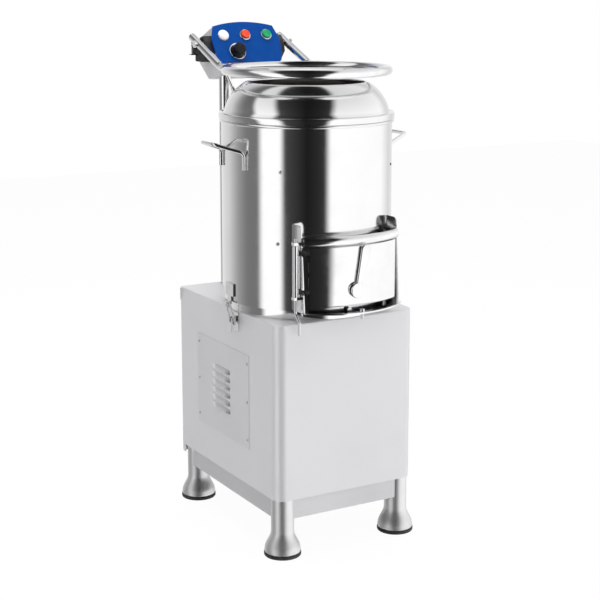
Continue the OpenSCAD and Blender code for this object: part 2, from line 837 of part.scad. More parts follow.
// Disc and drive
module abrasive_disc() placed() color("dimgray") difference() {
    union() {
        translate([0, 0, disc_z]) cylinder(r = disc_r, h = disc_t);
        translate([0, 0, disc_z - disc_hub_drop])
            cylinder(r = disc_hub_r, h = disc_hub_drop + disc_t + disc_hub_rise);
        for (i = [0:lobe_count - 1]) rotate([0, 0, i * full_turn / lobe_count]) {
            translate([lobe_inner, 0, disc_z + disc_t]) rotate([quarter_turn, 0, quarter_turn])
                linear_extrude(lobe_outer - lobe_inner) intersection() {
                    circle(r = lobe_r);
                    translate([-lobe_r, -over]) square([2 * lobe_r, lobe_r + over]);
                }
            translate([paddle_inner, -paddle_t / 2, disc_z - paddle_h])
                cube([paddle_outer - paddle_inner, paddle_t, paddle_h + over]);
        }
    }
    translate([0, 0, disc_z - disc_hub_drop - over])
        cylinder(r = shaft_r, h = disc_hub_drop + disc_t + disc_hub_rise + 2 * over);
}
module drive_shaft() placed() color("silver")
    translate([0, 0, shaft_bottom]) cylinder(r = shaft_r, h = shaft_top - shaft_bottom);
module disc_nut() placed() color("gray")
    translate([0, 0, disc_z + disc_t + disc_hub_rise]) difference() {
        cylinder(r = nut_r, h = nut_h, $fn = 6);
        translate([0, 0, -over]) cylinder(r = shaft_r, h = nut_h + 2 * over);
    }
module pulley(r, bore_r) {
    inner = r - groove_depth;
    difference() {
        rotate_extrude() polygon([[0, 0], [r + belt_seat, 0], [r + belt_seat, groove_lip],
            [inner, groove_lip + groove_slope], [inner, pulley_h - groove_lip - groove_slope],
            [r + belt_seat, pulley_h - groove_lip], [r + belt_seat, pulley_h], [0, pulley_h]]);
        translate([0, 0, -over]) cylinder(r = bore_r, h = pulley_h + 2 * over);
    }
}
module driven_pulley() placed() color("gray")
    translate([0, 0, pulley_top - pulley_h]) pulley(big_pulley_r, shaft_r);
module motor_pulley() placed() color("gray")
    translate([0, motor_y, pulley_top - pulley_h]) pulley(small_pulley_r, motor_shaft_r);
module belt_loop(extra) hull() {
    circle(r = big_pulley_r + extra);
    translate([0, motor_y]) circle(r = small_pulley_r + extra);
}
module drive_belt() placed() color("black")
    translate([0, 0, pulley_top - (pulley_h + belt_h) / 2]) linear_extrude(belt_h)
        difference() {
            belt_loop(belt_t - belt_seat);
            belt_loop(-belt_seat);
        }
module bearing_housing() placed() color("slategray") difference() {
    union() {
        translate([0, 0, tube_bottom]) cylinder(r = housing_tube_r, h = tube_top - tube_bottom);
        translate([0, 0, deck_under - flange_plate_t])
            cylinder(r = flange_plate_r, h = flange_plate_t);
    }
    translate([0, 0, tube_bottom - over])
        cylinder(r = shaft_r + shaft_room, h = tube_top - tube_bottom + 2 * over);
    for (z = [tube_bottom - over, tube_top - bearing_w - seal_t])
        translate([0, 0, z]) cylinder(r = bearing_r, h = bearing_w + seal_t + over);
}
module shaft_bearings() placed() color("silver")
    for (z = [tube_bottom + seal_t, tube_top - bearing_w - seal_t])
        translate([0, 0, z]) tube(bearing_r, bearing_r - shaft_r - fit, bearing_w);
module shaft_seal() placed() color("black")
    for (z = [tube_bottom, tube_top - seal_t])
        translate([0, 0, z]) tube(bearing_r, bearing_r - shaft_r - air, seal_t);
module motor_body() placed() color("steelblue") translate([0, motor_y, 0]) difference() {
    union() {
        translate([0, 0, motor_top - motor_h]) cylinder(r = motor_r, h = motor_h);
        for (i = [0:motor_fin_count - 1]) rotate([0, 0, i * full_turn / motor_fin_count])
            translate([0, -motor_fin_t / 2, motor_top - motor_h + motor_cap_h])
                cube([motor_r + motor_fin, motor_fin_t, motor_h - 2 * motor_cap_h]);
    }
    translate([0, 0, motor_top - rotor_depth])
        cylinder(r = motor_shaft_r + fit, h = rotor_depth + over);
}
module terminal_box() placed() color("dimgray")
    translate([-motor_r - terminal_w, motor_y - terminal_len / 2, terminal_z]) difference() {
        cube([terminal_w + motor_r / 2, terminal_len, terminal_h]);
        translate([motor_r + terminal_w, terminal_len / 2, -over])
            cylinder(r = motor_r + motor_fin, h = terminal_h + 2 * over);
    }
module motor_bracket() placed() color("gray") difference() {
    union() {
        translate([-bracket_half_w, bracket_front_y, motor_top])
            cube([2 * bracket_half_w, bracket_back_y - bracket_front_y, bracket_t]);
        both_sides() for (y = [hanger_y0, hanger_y1]) translate([hanger_x, y, bracket_top])
            cylinder(r = hanger_r, h = deck_under - bracket_top);
    }
    translate([0, motor_y, motor_top - over])
        cylinder(r = motor_shaft_r + shaft_room, h = bracket_t + 2 * over);
}
module motor_shaft() placed() color("silver")
    translate([0, motor_y, motor_top - rotor_depth + air])
        cylinder(r = motor_shaft_r, h = pulley_top - motor_top + rotor_depth);

// Pipes and gland
module drain_pipe() placed() color("silver") difference() {
    end = [drain_x, cabinet_back + drain_out, drain_z];
    spigot = [0, spigot_len, 0];
    bore_r = drain_r - drain_wall;
    union() {
        bent_rod([[drain_x, drain_y, drain_top], [drain_x, drain_y, drain_z], end],
            drain_r, drain_r);
        bar(end - spigot / 2, end + spigot, spigot_r);
    }
    bent_rod([[drain_x, drain_y, drain_top + over], [drain_x, drain_y, drain_z],
        end - [0, drain_out, 0]], bore_r, bore_r);
    bar(end - spigot, end + spigot + [0, over, 0], spigot_r - drain_wall);
}
module cable_gland() placed() color("black") translate([gland_x, cabinet_back, gland_z])
    rotate([-quarter_turn, 0, 0]) difference() {
        union() {
            cylinder(r = gland_r, h = gland_len);
            translate([0, 0, -gland_inside]) cylinder(r = gland_thread_r, h = gland_inside);
        }
        translate([0, 0, -gland_inside - over])
            cylinder(r = gland_bore_r, h = gland_inside + gland_len + 2 * over);
    }

// Toggle latches, the right one turned half round from the left
module on_right() translate([0, 2 * latch_y, 0]) rotate([0, 0, half_turn]) children();
module keeper() {
    lip = hook_t - hook_reach;
    difference() {
        translate([-drum_r - keeper_t, latch_y - keeper_half_w, keeper_z])
            cube([2 * keeper_t, 2 * keeper_half_w, keeper_h]);
        translate([0, 0, hook_z]) cylinder(r = drum_r, h = drum_h, $fn = fine_fn);
    }
    translate([-drum_r - keeper_t, latch_y + hook_half_w, 0]) rotate([quarter_turn, 0, 0])
        linear_extrude(2 * hook_half_w) polygon([[0, keeper_z + over], [0, hook_z],
            [lip + hook_t, hook_z], [lip + hook_t, hook_z + hook_lip], [lip, hook_z + hook_lip],
            [lip, hook_z - hook_t], [hook_t, hook_z - hook_t], [hook_t, keeper_z + over]]);
}
module latch_keepers() placed() color("gainsboro") both_sides() keeper();
module latch_base() {
    translate([-cabinet_w / 2 - sheet, latch_y - base_half_w, base_z])
        cube([sheet, 2 * base_half_w, base_h]);
    translate([-pivot_x - hook_t, latch_y - ear_half_w, pivot_z - ear_half_h])
        cube([pivot_x + hook_t - cabinet_w / 2, 2 * ear_half_w, 2 * ear_half_h]);
    translate([-pivot_x, latch_y, pivot_z]) rotate([quarter_turn, 0, 0])
        cylinder(r = pivot_r, h = 2 * cheek_out, center = true);
}
module latch_bases() placed() color("gainsboro") both_sides() latch_base();
module latch_lever() translate([-pivot_x, latch_y, pivot_z]) difference() {
    union() {
        translate([-lever_plate_x - lever_plate_t, 0, 0]) rotate([quarter_turn, 0, quarter_turn])
            linear_extrude(lever_plate_t) polygon([[-cheek_out, -lever_top_gap],
                [-lever_tail_half_w, -lever_len], [lever_tail_half_w, -lever_len],
                [cheek_out, -lever_top_gap]]);
        for (y = [-cheek_out, cheek_in])
            translate([-lever_plate_x - lever_plate_t, y, -lever_top_gap - ear_half_h])
                cube([lever_plate_x + lever_plate_t + 2 * pivot_r,
                    cheek_out - cheek_in, lever_top_gap + 2 * ear_half_h - pivot_r]);
    }
    rotate([quarter_turn, 0, 0])
        cylinder(r = pivot_r + fit, h = 2 * base_half_w, center = true);
    translate([0, 0, -bail_drop]) rotate([quarter_turn, 0, 0])
        cylinder(r = bail_r + fit, h = 2 * base_half_w, center = true);
}
module latch_lever_left() placed() color("silver") latch_lever();
module latch_lever_right() placed() color("silver") on_right() latch_lever();
module latch_bail() {
    top = hook_z + bail_r + air;
    low = pivot_z - bail_drop;
    translate([0, latch_y, 0])
        bent_rod([[-pivot_x, -cheek_in, low], [-pivot_x, -bail_y, low],
            [-bail_bar_x, -bail_y, top], [-bail_bar_x, bail_y, top],
            [-pivot_x, bail_y, low], [-pivot_x, cheek_in, low]], bail_r, bail_ball_r);
}
module latch_bail_left() placed() color("gainsboro") latch_bail();
module latch_bail_right() placed() color("gainsboro") on_right() latch_bail();

// Lid
module dome_outline(inner) {
    polygon(concat([[0, 0]], [[dome_foot_r - inner, 0]],
        [for (i = [0:dome_steps]) dome_point(i / dome_steps, inner)],
        [[0, dome_h - inner]]));
}
module lid_dome() placed() color("silver") translate([0, 0, lid_z]) difference() {
    rotate_extrude() union() {
        square([rim_r, rim_h]);
        translate([0, rim_h]) dome_outline(0);
        translate([0, -locate_drop]) square([locate_r, locate_drop + rim_h]);
        translate([0, rim_h + dome_h - mouth_lip]) square([dome_top_r, mouth_lip]);
    }
    rotate_extrude() union() {
        translate([0, -locate_drop - over])
            square([locate_r - dome_t, locate_drop + rim_h + over]);
        translate([0, rim_h - over]) intersection() {
            dome_outline(dome_t);
            square([dome_foot_r, dome_h - dome_t]);
        }
        square([mouth_r, rim_h + dome_h + over]);
    }
}
module lid_hoop() placed() color("gainsboro") difference() {
    union() {
        translate([0, 0, hoop_z]) rotate_extrude() translate([hoop_r, 0])
            circle(r = hoop_tube_r);
        both_sides() {
            end_z = hoop_z + (arm_end_y - arm_bend_y) * arm_rise;
            bent_rod([[arm_x, sqrt(pow(hoop_r, 2) - pow(arm_x, 2)), hoop_z],
                [arm_x, arm_bend_y, hoop_z], [arm_x, arm_end_y, end_z]], arm_r, arm_ball_r);
            translate([arm_x - stop_w / 2, arm_end_y - hoop_tube_r, end_z - stop_drop])
                cube([stop_w, stop_t, stop_drop]);
            translate([arm_x - stop_w / 2, arm_end_y - hoop_tube_r, end_z - stop_drop])
                cube([stop_w, stop_tab, stop_t]);
        }
    }
    both_sides() translate([arm_x, hinge_y, hinge_z]) rotate([0, quarter_turn, 0])
        cylinder(r = pin_r + fit, h = 2 * (hoop_tube_r + over), center = true);
}
module lid_struts() placed() color("silver") difference() {
    for (a = strut_angles) rotate([0, 0, a])
        bar([strut_foot_r, 0, lid_z + rim_h + dome_h / 2], [hoop_r, 0, hoop_z], strut_r);
    translate([0, 0, hoop_z]) rotate_extrude() translate([hoop_r, 0])
        circle(r = hoop_tube_r);
    translate([0, 0, lid_z + rim_h]) rotate_extrude() dome_outline(0);
}

// Control housing
module housing_outline(d) translate([housing_y, housing_z])
    polygon(d == 0 ? housing_points : inset(housing_points, d));
module control_housing() placed() color("silver") difference() {
    side_view(housing_w) housing_outline(0);
    side_view(housing_w - 2 * housing_t) housing_outline(housing_t);
    both_sides() translate([post_x, post_y, housing_z - over])
        cylinder(r = post_r, h = post_top - housing_z);
    both_sides() translate([housing_w / 2, hinge_y, hinge_z]) rotate([0, quarter_turn, 0])
        cylinder(r = pin_r, h = 4 * housing_t, center = true);
    on_panel() fitting_holes();
}
module fitting_holes() {
    for (x = [-fitting_pitch, 0, fitting_pitch])
        translate([x, fitting_row, -2 * housing_t])
            cylinder(r = button_r + air, h = 4 * housing_t + fascia_t);
    translate([timer_x, timer_row, -2 * housing_t])
        cylinder(r = knob_stem_r + air, h = 4 * housing_t + fascia_t);
}
module fascia_outline() {
    sides = [for (p = fascia_side_shares) [p[0] * fascia_half_w, p[1] * fascia_h]];
    brow = sides[len(sides) - 1];
    rise = fascia_h - brow[1];
    arch_r = (pow(brow[0], 2) + pow(rise, 2)) / (2 * rise);
    half = asin(brow[0] / arch_r);
    polygon(concat(sides,
        [for (i = [1:arch_steps - 1]) let (a = half * (1 - 2 * i / arch_steps))
            [arch_r * sin(a), fascia_h - arch_r * (1 - cos(a))]],
        [for (i = [len(sides) - 1:-1:0]) [-sides[i][0], sides[i][1]]]));
}
module control_panel() placed() color("royalblue") on_panel() difference() {
    linear_extrude(fascia_t) fascia_outline();
    fitting_holes();
}
module housing_posts() placed() color("whitesmoke")
    both_sides() translate([post_x, post_y, cabinet_top])
        tube(post_r, post_wall, post_top - cabinet_top - over);
module hinge_blocks() placed() color("black") both_sides() difference() {
    translate([(block_in + block_out) / 2, hinge_y, hinge_z]) side_view(block_out - block_in)
        polygon(block_size * block_shares);
    translate([block_in - over, hinge_y, hinge_z]) rotate([0, quarter_turn, 0])
        cylinder(r = pin_r, h = block_out - block_in + 2 * over);
}
module hinge_pins() placed() color("silver") both_sides()
    translate([0, hinge_y, hinge_z]) rotate([0, quarter_turn, 0]) {
        translate([0, 0, block_in - pin_tail])
            cylinder(r = pin_r, h = arm_x + hoop_tube_r + block_gap - block_in + pin_tail);
        translate([0, 0, arm_x + hoop_tube_r + block_gap])
            cylinder(r = pin_head_r, h = pin_head_t);
    }

// Switch units with their bezels and dial, the lamp, the buttons and the timer knob
module switch_units() placed() color("gainsboro") on_panel() {
    for (x = [0, fitting_pitch]) translate([x, fitting_row, fascia_t])
        tube(bezel_r, bezel_r - button_r - air, bezel_h);
    translate([timer_x, timer_row, fascia_t])
        tube(dial_r, dial_r - knob_stem_r - air, dial_h);
    for (p = [[-fitting_pitch, fitting_row], [0, fitting_row], [fitting_pitch, fitting_row],
            [timer_x, timer_row]])
        translate([p[0], p[1], -housing_t - switch_depth]) difference() {
            translate([-switch_half_w, -switch_half_w, 0])
                cube([2 * switch_half_w, 2 * switch_half_w, switch_depth]);
            translate([0, 0, switch_depth - stem_hole])
                cylinder(r = button_stem_r + air, h = stem_hole + over);
        }
}
module lamp_lens() placed() color("white") on_panel()
    translate([-fitting_pitch, fitting_row, fascia_t]) cylinder(r = lens_r, h = lens_h);
module push_button(x) on_panel() translate([x, fitting_row, fascia_t]) {
    translate([0, 0, button_seat]) cylinder(r = button_r, h = button_h);
    translate([0, 0, -button_stem]) cylinder(r = button_stem_r, h = button_stem + button_seat);
}
module stop_button() placed() color("orangered") push_button(0);
module start_button() placed() color("seagreen") push_button(fitting_pitch);
module timer_knob() placed() color("black") on_panel()
    translate([timer_x, timer_row, fascia_t + dial_h + knob_gap]) {
        difference() {
            cylinder(r = knob_r, h = knob_h);
            translate([-pointer_w / 2, 0, knob_h - pointer_d])
                cube([pointer_w, knob_r + over, pointer_d + over]);
        }
        translate([0, 0, -knob_stem]) cylinder(r = knob_stem_r, h = knob_stem);
    }

cabinet_shell();
top_deck();
skirt_panels();
rear_panel();
access_cover();
cover_screws();
leg_front_left();
leg_front_right();
leg_rear_left();
leg_rear_right();
foot_pads();
neck_ring();
drum_shell();
drum_floor();
abrasive_liner();
drum_bolts();
drum_handles();
chute_frame();
chute_bar();
chute_stud();
hinge_rod();
door_plate();
door_hinge();
door_seal();
lever_handle();
lever_cam();
abrasive_disc();
drive_shaft();
disc_nut();
driven_pulley();
bearing_housing();
shaft_bearings();
shaft_seal();
motor_body();
terminal_box();
motor_bracket();
motor_shaft();
motor_pulley();
drive_belt();
drain_pipe();
cable_gland();
latch_keepers();
latch_bases();
latch_lever_left();
latch_lever_right();
latch_bail_left();
latch_bail_right();
lid_dome();
lid_hoop();
lid_struts();
control_housing();
control_panel();
housing_posts();
hinge_blocks();
hinge_pins();
switch_units();
lamp_lens();
stop_button();
start_button();
timer_knob();
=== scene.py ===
"""Electric potato peeler: looks of the drum, lid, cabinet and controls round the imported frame."""
import math

import bmesh
import bpy
from bpy.props import FloatProperty, FloatVectorProperty, IntProperty, PointerProperty
from mathutils import Matrix, Vector


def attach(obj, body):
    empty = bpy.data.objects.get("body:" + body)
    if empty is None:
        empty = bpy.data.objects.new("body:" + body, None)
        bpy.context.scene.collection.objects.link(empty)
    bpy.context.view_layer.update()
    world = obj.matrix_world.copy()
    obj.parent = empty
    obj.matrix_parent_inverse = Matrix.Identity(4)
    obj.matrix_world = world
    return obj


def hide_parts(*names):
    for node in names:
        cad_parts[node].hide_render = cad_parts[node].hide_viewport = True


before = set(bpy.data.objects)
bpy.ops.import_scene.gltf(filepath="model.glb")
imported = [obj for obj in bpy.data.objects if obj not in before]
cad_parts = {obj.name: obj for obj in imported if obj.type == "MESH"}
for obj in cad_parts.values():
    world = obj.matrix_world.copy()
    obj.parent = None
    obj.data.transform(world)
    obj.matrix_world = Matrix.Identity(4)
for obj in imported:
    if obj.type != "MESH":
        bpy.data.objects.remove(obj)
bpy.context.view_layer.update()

bl_info = {
    "name": "Potato peeler looks",
    "version": (1, 0, 0),
    "blender": (4, 5, 0),
    "location": "View3D > Sidebar > Peeler",
    "description": "Builds the shown pieces, finishes and studio of an electric potato peeler",
    "category": "Object",
}

# ---- sizes


def length(name, description, default):
    """A length in metres, for a PropertyGroup."""
    return FloatProperty(name=name, description=description, default=default, unit="LENGTH")


def tint(name, description, default):
    """A colour, for a PropertyGroup."""
    return FloatVectorProperty(name=name, description=description, default=default, size=3,
                               subtype="COLOR")


class CabinetSizes(bpy.types.PropertyGroup):
    """Sizes of the motor cabinet and its legs"""

    half_width: length("Half width", "Middle to side of the cabinet", 0.175)
    corner: length("Corner radius", "Radius of the two front corners", 0.025)
    edge: length("Top edge radius", "Rounding of the deck's edge", 0.0035)
    leg_radius: length("Leg radius", "Radius of a leg tube", 0.0254)
    foot_radius: length("Foot radius", "Radius of the bell foot", 0.04)
    louvres: IntProperty(name="Louvres", description="Number of pressed louvres", default=6)


class DrumSizes(bpy.types.PropertyGroup):
    """Sizes of the drum, its handles and the discharge door"""

    radius: length("Radius", "Outer radius of the drum wall", 0.19)
    rod: length("Handle rod", "Radius of the side handles' rod", 0.0042)
    door_radius: length("Door radius", "Radius of the curved door", 0.225)
    door_hem: length("Door hem", "Rounding of the door's edges", 0.0016)


class LidSizes(bpy.types.PropertyGroup):
    """Sizes of the lid and its hoop"""

    hoop_radius: length("Hoop radius", "Centreline radius of the hoop", 0.18)
    tube: length("Tube radius", "Radius of the hoop's tube", 0.01)
    arm_bend: length("Arm bend", "Centreline radius of the arms' bend", 0.045)


class ControlSizes(bpy.types.PropertyGroup):
    """Sizes of the control housing and its fittings"""

    edge: length("Housing edge", "Rounding of the housing's edges", 0.004)
    fascia_edge: length("Fascia edge", "Rounding of the fascia's edge", 0.0009)
    knob_ribs: IntProperty(name="Knob ribs", description="Grip ribs round the timer knob",
                           default=24)


class FinishColours(bpy.types.PropertyGroup):
    """Colours of the painted, plastic and metal finishes"""

    steel: tint("Steel", "Polished stainless steel", (0.90, 0.90, 0.905))
    satin: tint("Satin steel", "Satin stainless steel sheet", (0.75, 0.75, 0.765))
    fascia: tint("Fascia", "Blue of the control panel", (0.0, 0.055, 0.28))
    stop: tint("Stop", "Red of the stop button", (0.85, 0.07, 0.02))
    start: tint("Start", "Green of the start button", (0.0, 0.33, 0.13))
    motor: tint("Motor paint", "Paint of the motor", (0.05, 0.13, 0.22))


# ---- places and shapes

MM = 0.001  # shapes are in millimetres and the scene is in metres
FULL, QUARTER = 2 * math.pi, math.pi / 2
DRUM_Y = -0.064  # the drum's axis lies this far in front of the frame's middle, in metres
FLOOR_Z, DRUM_TOP, CABINET_TOP, DECK_UNDER = 543.0, 940.0, 521.0, 518.0
FRONT_Y, BACK_Y, DECK_BACK = -178.0, 284.0, 297.0  # cabinet's front, its sides' end, deck's end
SHEET = 2.0
WELD_GAP = 1e-5  # points closer than this, in metres, become one
STRAIGHT = 1e-6  # a bend under this many radians is left straight
FIRST_END, LAST_END = 0.86, 0.8  # radius of a bar's two end faces, as shares of its own
LEGS = {"leg_front_left": (-147.6, -150.6), "leg_front_right": (147.6, -150.6),
        "leg_rear_left": (-147.6, 269.6), "leg_rear_right": (147.6, 269.6)}
PANEL_LEAN = 61.293  # degrees from level
PANEL_FOOT = (0.0, 260.0, 1050.0)
BLUE_PANEL = Matrix.Translation(PANEL_FOOT) @ Matrix.Rotation(math.radians(PANEL_LEAN), 4, "X")
ACROSS = Matrix(((0, 0, 1, 0), (1, 0, 0, 0), (0, 1, 0, 0), (0, 0, 0, 1)))  # side view to width


class Shape:
    """Points in millimetres about the drum axis, and the faces between them."""

    def __init__(self):
        self.points, self.faces = [], []

    def add(self, points, faces, place=None):
        base = len(self.points)
        self.points += [(place @ Vector(p)) if place else Vector(p) for p in points]
        self.faces += [[base + i for i in f] for f in faces]

    def lathe(self, profile, place, steps, closed=False):
        """Turns (radius, height) points about an upright axis."""
        n, points, faces = len(profile), [], []
        for k in range(steps):
            a = FULL * k / steps
            points += [(r * math.cos(a), r * math.sin(a), z) for r, z in profile]
        for k in range(steps):
            for i in range(n if closed else n - 1):
                j, m = (i + 1) % n, (k + 1) % steps
                faces.append([k * n + i, k * n + j, m * n + j, m * n + i])
        self.add(points, faces, place)

    def grid(self, rows, keep=lambda i, j: True, loop=False, caps=False):
        """Skins rows of points, leaving out the cells that keep() turns down."""
        n, faces = len(rows[0]), []
        for i in range(len(rows) - 1):
            for j in range(n if loop else n - 1):
                if keep(i, j):
                    k = (j + 1) % n
                    faces.append([i * n + j, i * n + k, (i + 1) * n + k, (i + 1) * n + j])
        if caps:
            faces += [list(range(n))[::-1], [(len(rows) - 1) * n + j for j in range(n)]]
        self.add([p for row in rows for p in row], faces)

    def tube(self, path, radius, steps=24):
        """Round bar along a path, drawn in to a smaller flat face at both ends."""
        path = [Vector(p) for p in path]
        side, rings = None, []
        for i, p in enumerate(path):
            way = (path[min(i + 1, len(path) - 1)] - path[max(i - 1, 0)]).normalized()
            if side is None:
                side = way.orthogonal().normalized()
            side = (side - way * side.dot(way)).normalized()
            rings.append((p, side, way.cross(side), radius))
        ends = [(*rings[0][:3], radius * FIRST_END)], [(*rings[-1][:3], radius * LAST_END)]
        turns = [FULL * j / steps for j in range(steps)]
        self.grid([[p + r * (s * math.cos(a) + u * math.sin(a)) for a in turns]
                   for p, s, u, r in ends[0] + rings + ends[1]], loop=True, caps=True)

    def prism(self, outline, depth, place=None):
        """Plate with the given flat outline, from zero to depth."""
        n = len(outline)
        points = [(x, y, 0.0) for x, y in outline] + [(x, y, depth) for x, y in outline]
        faces = [list(range(n))[::-1], [n + i for i in range(n)]]
        faces += [[i, (i + 1) % n, n + (i + 1) % n, n + i] for i in range(n)]
        self.add(points, faces, place)

    def box(self, low, high, place=None):
        (a, b, c), (d, e, f) = low, high
        move = Matrix.Translation((0, 0, c))
        self.prism([(a, b), (d, b), (d, e), (a, e)], f - c, place @ move if place else move)


def oval(radius, height, wide, tall, steps):
    """A closed section for a lathe, round the point at this radius and height."""
    turns = [FULL * k / steps for k in range(steps)]
    return [(radius + wide * math.cos(a), height + tall * math.sin(a)) for a in turns]


def rounded(path, radius, steps=8):
    """The path with each inner corner turned into an arc."""
    path = [Vector(p) for p in path]
    out = [path[0]]
    for i in range(1, len(path) - 1):
        a, b, c = path[i - 1], path[i], path[i + 1]
        u, v = (a - b).normalized(), (c - b).normalized()
        half = u.angle(v) / 2
        reach = min(radius / math.tan(half), 0.49 * (a - b).length, 0.49 * (c - b).length)
        turn = reach * math.tan(half)
        hub = b + (u + v).normalized() * (turn / math.sin(half))
        start, end = b + u * reach - hub, b + v * reach - hub
        sweep = start.angle(end)
        for k in range(steps + 1):
            s = k / steps
            p = start
            if sweep > STRAIGHT:
                p = start * math.sin((1 - s) * sweep) + end * math.sin(s * sweep)
                p /= math.sin(sweep)
            out.append(hub + p)
    out.append(path[-1])
    return out


def about(axis, turn, place=(0, 0, 0)):
    """A place turned about one of the main axes."""
    return Matrix.Translation(place) @ Matrix.Rotation(math.radians(turn), 4, axis)


def piece(name, shape, finish, body, replaces, edge=0.0, sharp=32, segments=3, solid=0.0):
    """Makes the object of a shape, dresses it and hangs it on its body."""
    mesh = bpy.data.meshes.new(name)
    points = [(p.x * MM, p.y * MM + DRUM_Y, p.z * MM) for p in shape.points]
    mesh.from_pydata(points, [], shape.faces)
    work = bmesh.new()
    work.from_mesh(mesh)
    bmesh.ops.remove_doubles(work, verts=work.verts, dist=WELD_GAP)
    bmesh.ops.recalc_face_normals(work, faces=work.faces)
    work.to_mesh(mesh)
    work.free()
    made = bpy.data.objects.new(name, mesh)
    bpy.context.scene.collection.objects.link(made)
    if solid:
        skin = made.modifiers.new("sheet", "SOLIDIFY")
        skin.thickness, skin.offset, skin.use_even_offset = solid, -1.0, True
        thick = made.evaluated_get(bpy.context.evaluated_depsgraph_get())
        mesh = bpy.data.meshes.new_from_object(thick)
        mesh.name = name + "_sheet"
        made.modifiers.clear()
        made.data = mesh
    mesh.polygons.foreach_set("use_smooth", [True] * len(mesh.polygons))
    mesh.set_sharp_from_angle(angle=math.radians(sharp))
    mesh.materials.clear()
    mesh.materials.append(bpy.data.materials[finish])
    if edge:
        bevel = made.modifiers.new("edge", "BEVEL")
        bevel.width, bevel.segments, bevel.limit_method = edge, segments, "ANGLE"
        bevel.angle_limit, bevel.harden_normals = math.radians(sharp), True
    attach(made, body)
    if replaces:
        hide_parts(*replaces)


# ---- shader groups


def new_group(name, label, value, outputs):
    """A node group that takes a vector and one value more, and gives numbers."""
    group = bpy.data.node_groups.new(name, "ShaderNodeTree")
    socket = group.interface.new_socket
    kind = "NodeSocketVector" if isinstance(value, tuple) else "NodeSocketFloat"
    socket("Vector", in_out="INPUT", socket_type="NodeSocketVector")
    socket(label, in_out="INPUT", socket_type=kind).default_value = value
    for label in outputs:
        socket(label, in_out="OUTPUT", socket_type="NodeSocketFloat")
    start, end = group.nodes.new("NodeGroupInput"), group.nodes.new("NodeGroupOutput")
    return group, start.outputs, end.inputs


def noise(tree, vector, scale, detail=3.0, rough=0.55):
    """A noise texture on a vector, with a plain or a linked scale."""
    made = tree.nodes.new("ShaderNodeTexNoise")
    made.inputs["Detail"].default_value = detail
    made.inputs["Roughness"].default_value = rough
    tree.links.new(vector, made.inputs["Vector"])
    if isinstance(scale, (int, float)):
        made.inputs["Scale"].default_value = scale
    else:
        tree.links.new(scale, made.inputs["Scale"])
    return made.outputs["Fac"]


def spread(tree, value, low, high, to_low=0.0, to_high=1.0, kind="SMOOTHSTEP"):
    """A value moved from one range to another, in a smooth step unless kind is LINEAR."""
    made = tree.nodes.new("ShaderNodeMapRange")
    made.interpolation_type = kind
    ends = (("From Min", low), ("From Max", high), ("To Min", to_low), ("To Max", to_high))
    for label, number in ends:
        made.inputs[label].default_value = number
    tree.links.new(value, made.inputs["Value"])
    return made.outputs["Result"]


def maths(tree, kind, a, b):
    """A sum or product of two values, either of which may be a number."""
    made = tree.nodes.new("ShaderNodeMath")
    made.operation = kind
    for slot, value in zip(made.inputs, (a, b)):
        if isinstance(value, (int, float)):
            slot.default_value = value
        else:
            tree.links.new(value, slot)
    return made.outputs[0]


def blend_colour(tree, share, a, b):
    """A colour mix by a share."""
    made = tree.nodes.new("ShaderNodeMix")
    made.data_type = "RGBA"
    tree.links.new(share, made.inputs["Factor"])
    for label, value in (("A", a), ("B", b)):
        socket = [s for s in made.inputs if s.name == label and s.type == "RGBA"][0]
        if isinstance(value, (tuple, list)):
            socket.default_value = (*value, 1.0)
        else:
            tree.links.new(value, socket)
    return [s for s in made.outputs if s.type == "RGBA"][0]


def make_groups():
    """Brushed lines, smudges, pebbled grain, edge wear and dust, each built once."""
    group, start, end = new_group("brushed_lines", "Stretch", (8.0, 8.0, 420.0), ("Lines", "Fine"))
    stretch = group.nodes.new("ShaderNodeVectorMath")
    stretch.operation = "MULTIPLY"
    group.links.new(start["Vector"], stretch.inputs[0])
    group.links.new(start["Stretch"], stretch.inputs[1])
    group.links.new(noise(group, stretch.outputs[0], 1.0, 4.0), end["Lines"])
    group.links.new(noise(group, stretch.outputs[0], 3.1, 2.0), end["Fine"])

    group, start, end = new_group("handling_smudges", "Scale", 9.0, ["Mask"])
    cloud = noise(group, start["Vector"], start["Scale"], 5.0, 0.6)
    group.links.new(spread(group, cloud, 0.42, 0.72), end["Mask"])

    group, start, end = new_group("pebbled_grain", "Scale", 900.0, ("Height", "Tone"))
    cells = group.nodes.new("ShaderNodeTexVoronoi")
    cells.feature = "SMOOTH_F1"
    for label in ("Vector", "Scale"):
        group.links.new(start[label], cells.inputs[label])
    fine = noise(group, start["Vector"], start["Scale"], 3.0)
    group.links.new(maths(group, "ADD", cells.outputs["Distance"], fine), end["Height"])
    group.links.new(spread(group, fine, 0.35, 0.68), end["Tone"])

    group, start, end = new_group("edge_wear", "Amount", 0.5, ["Mask"])
    bend = group.nodes.new("ShaderNodeNewGeometry").outputs["Pointiness"]
    worn = maths(group, "MULTIPLY", spread(group, bend, 0.515, 0.56),
                 spread(group, noise(group, start["Vector"], 60.0, 4.0), 0.35, 0.65))
    group.links.new(maths(group, "MULTIPLY", worn, start["Amount"]), end["Mask"])

    group, start, end = new_group("floor_dust", "Height", 0.06, ["Mask"])
    parts = group.nodes.new("ShaderNodeSeparateXYZ")
    group.links.new(start["Vector"], parts.inputs[0])
    low = maths(group, "DIVIDE", parts.outputs["Z"], start["Height"])
    settle = spread(group, low, 0.0, 1.0, 1.0, 0.0)
    patch = spread(group, noise(group, start["Vector"], 45.0, 5.0), 0.35, 0.7)
    group.links.new(maths(group, "MULTIPLY", settle, patch), end["Mask"])


# ---- finishes


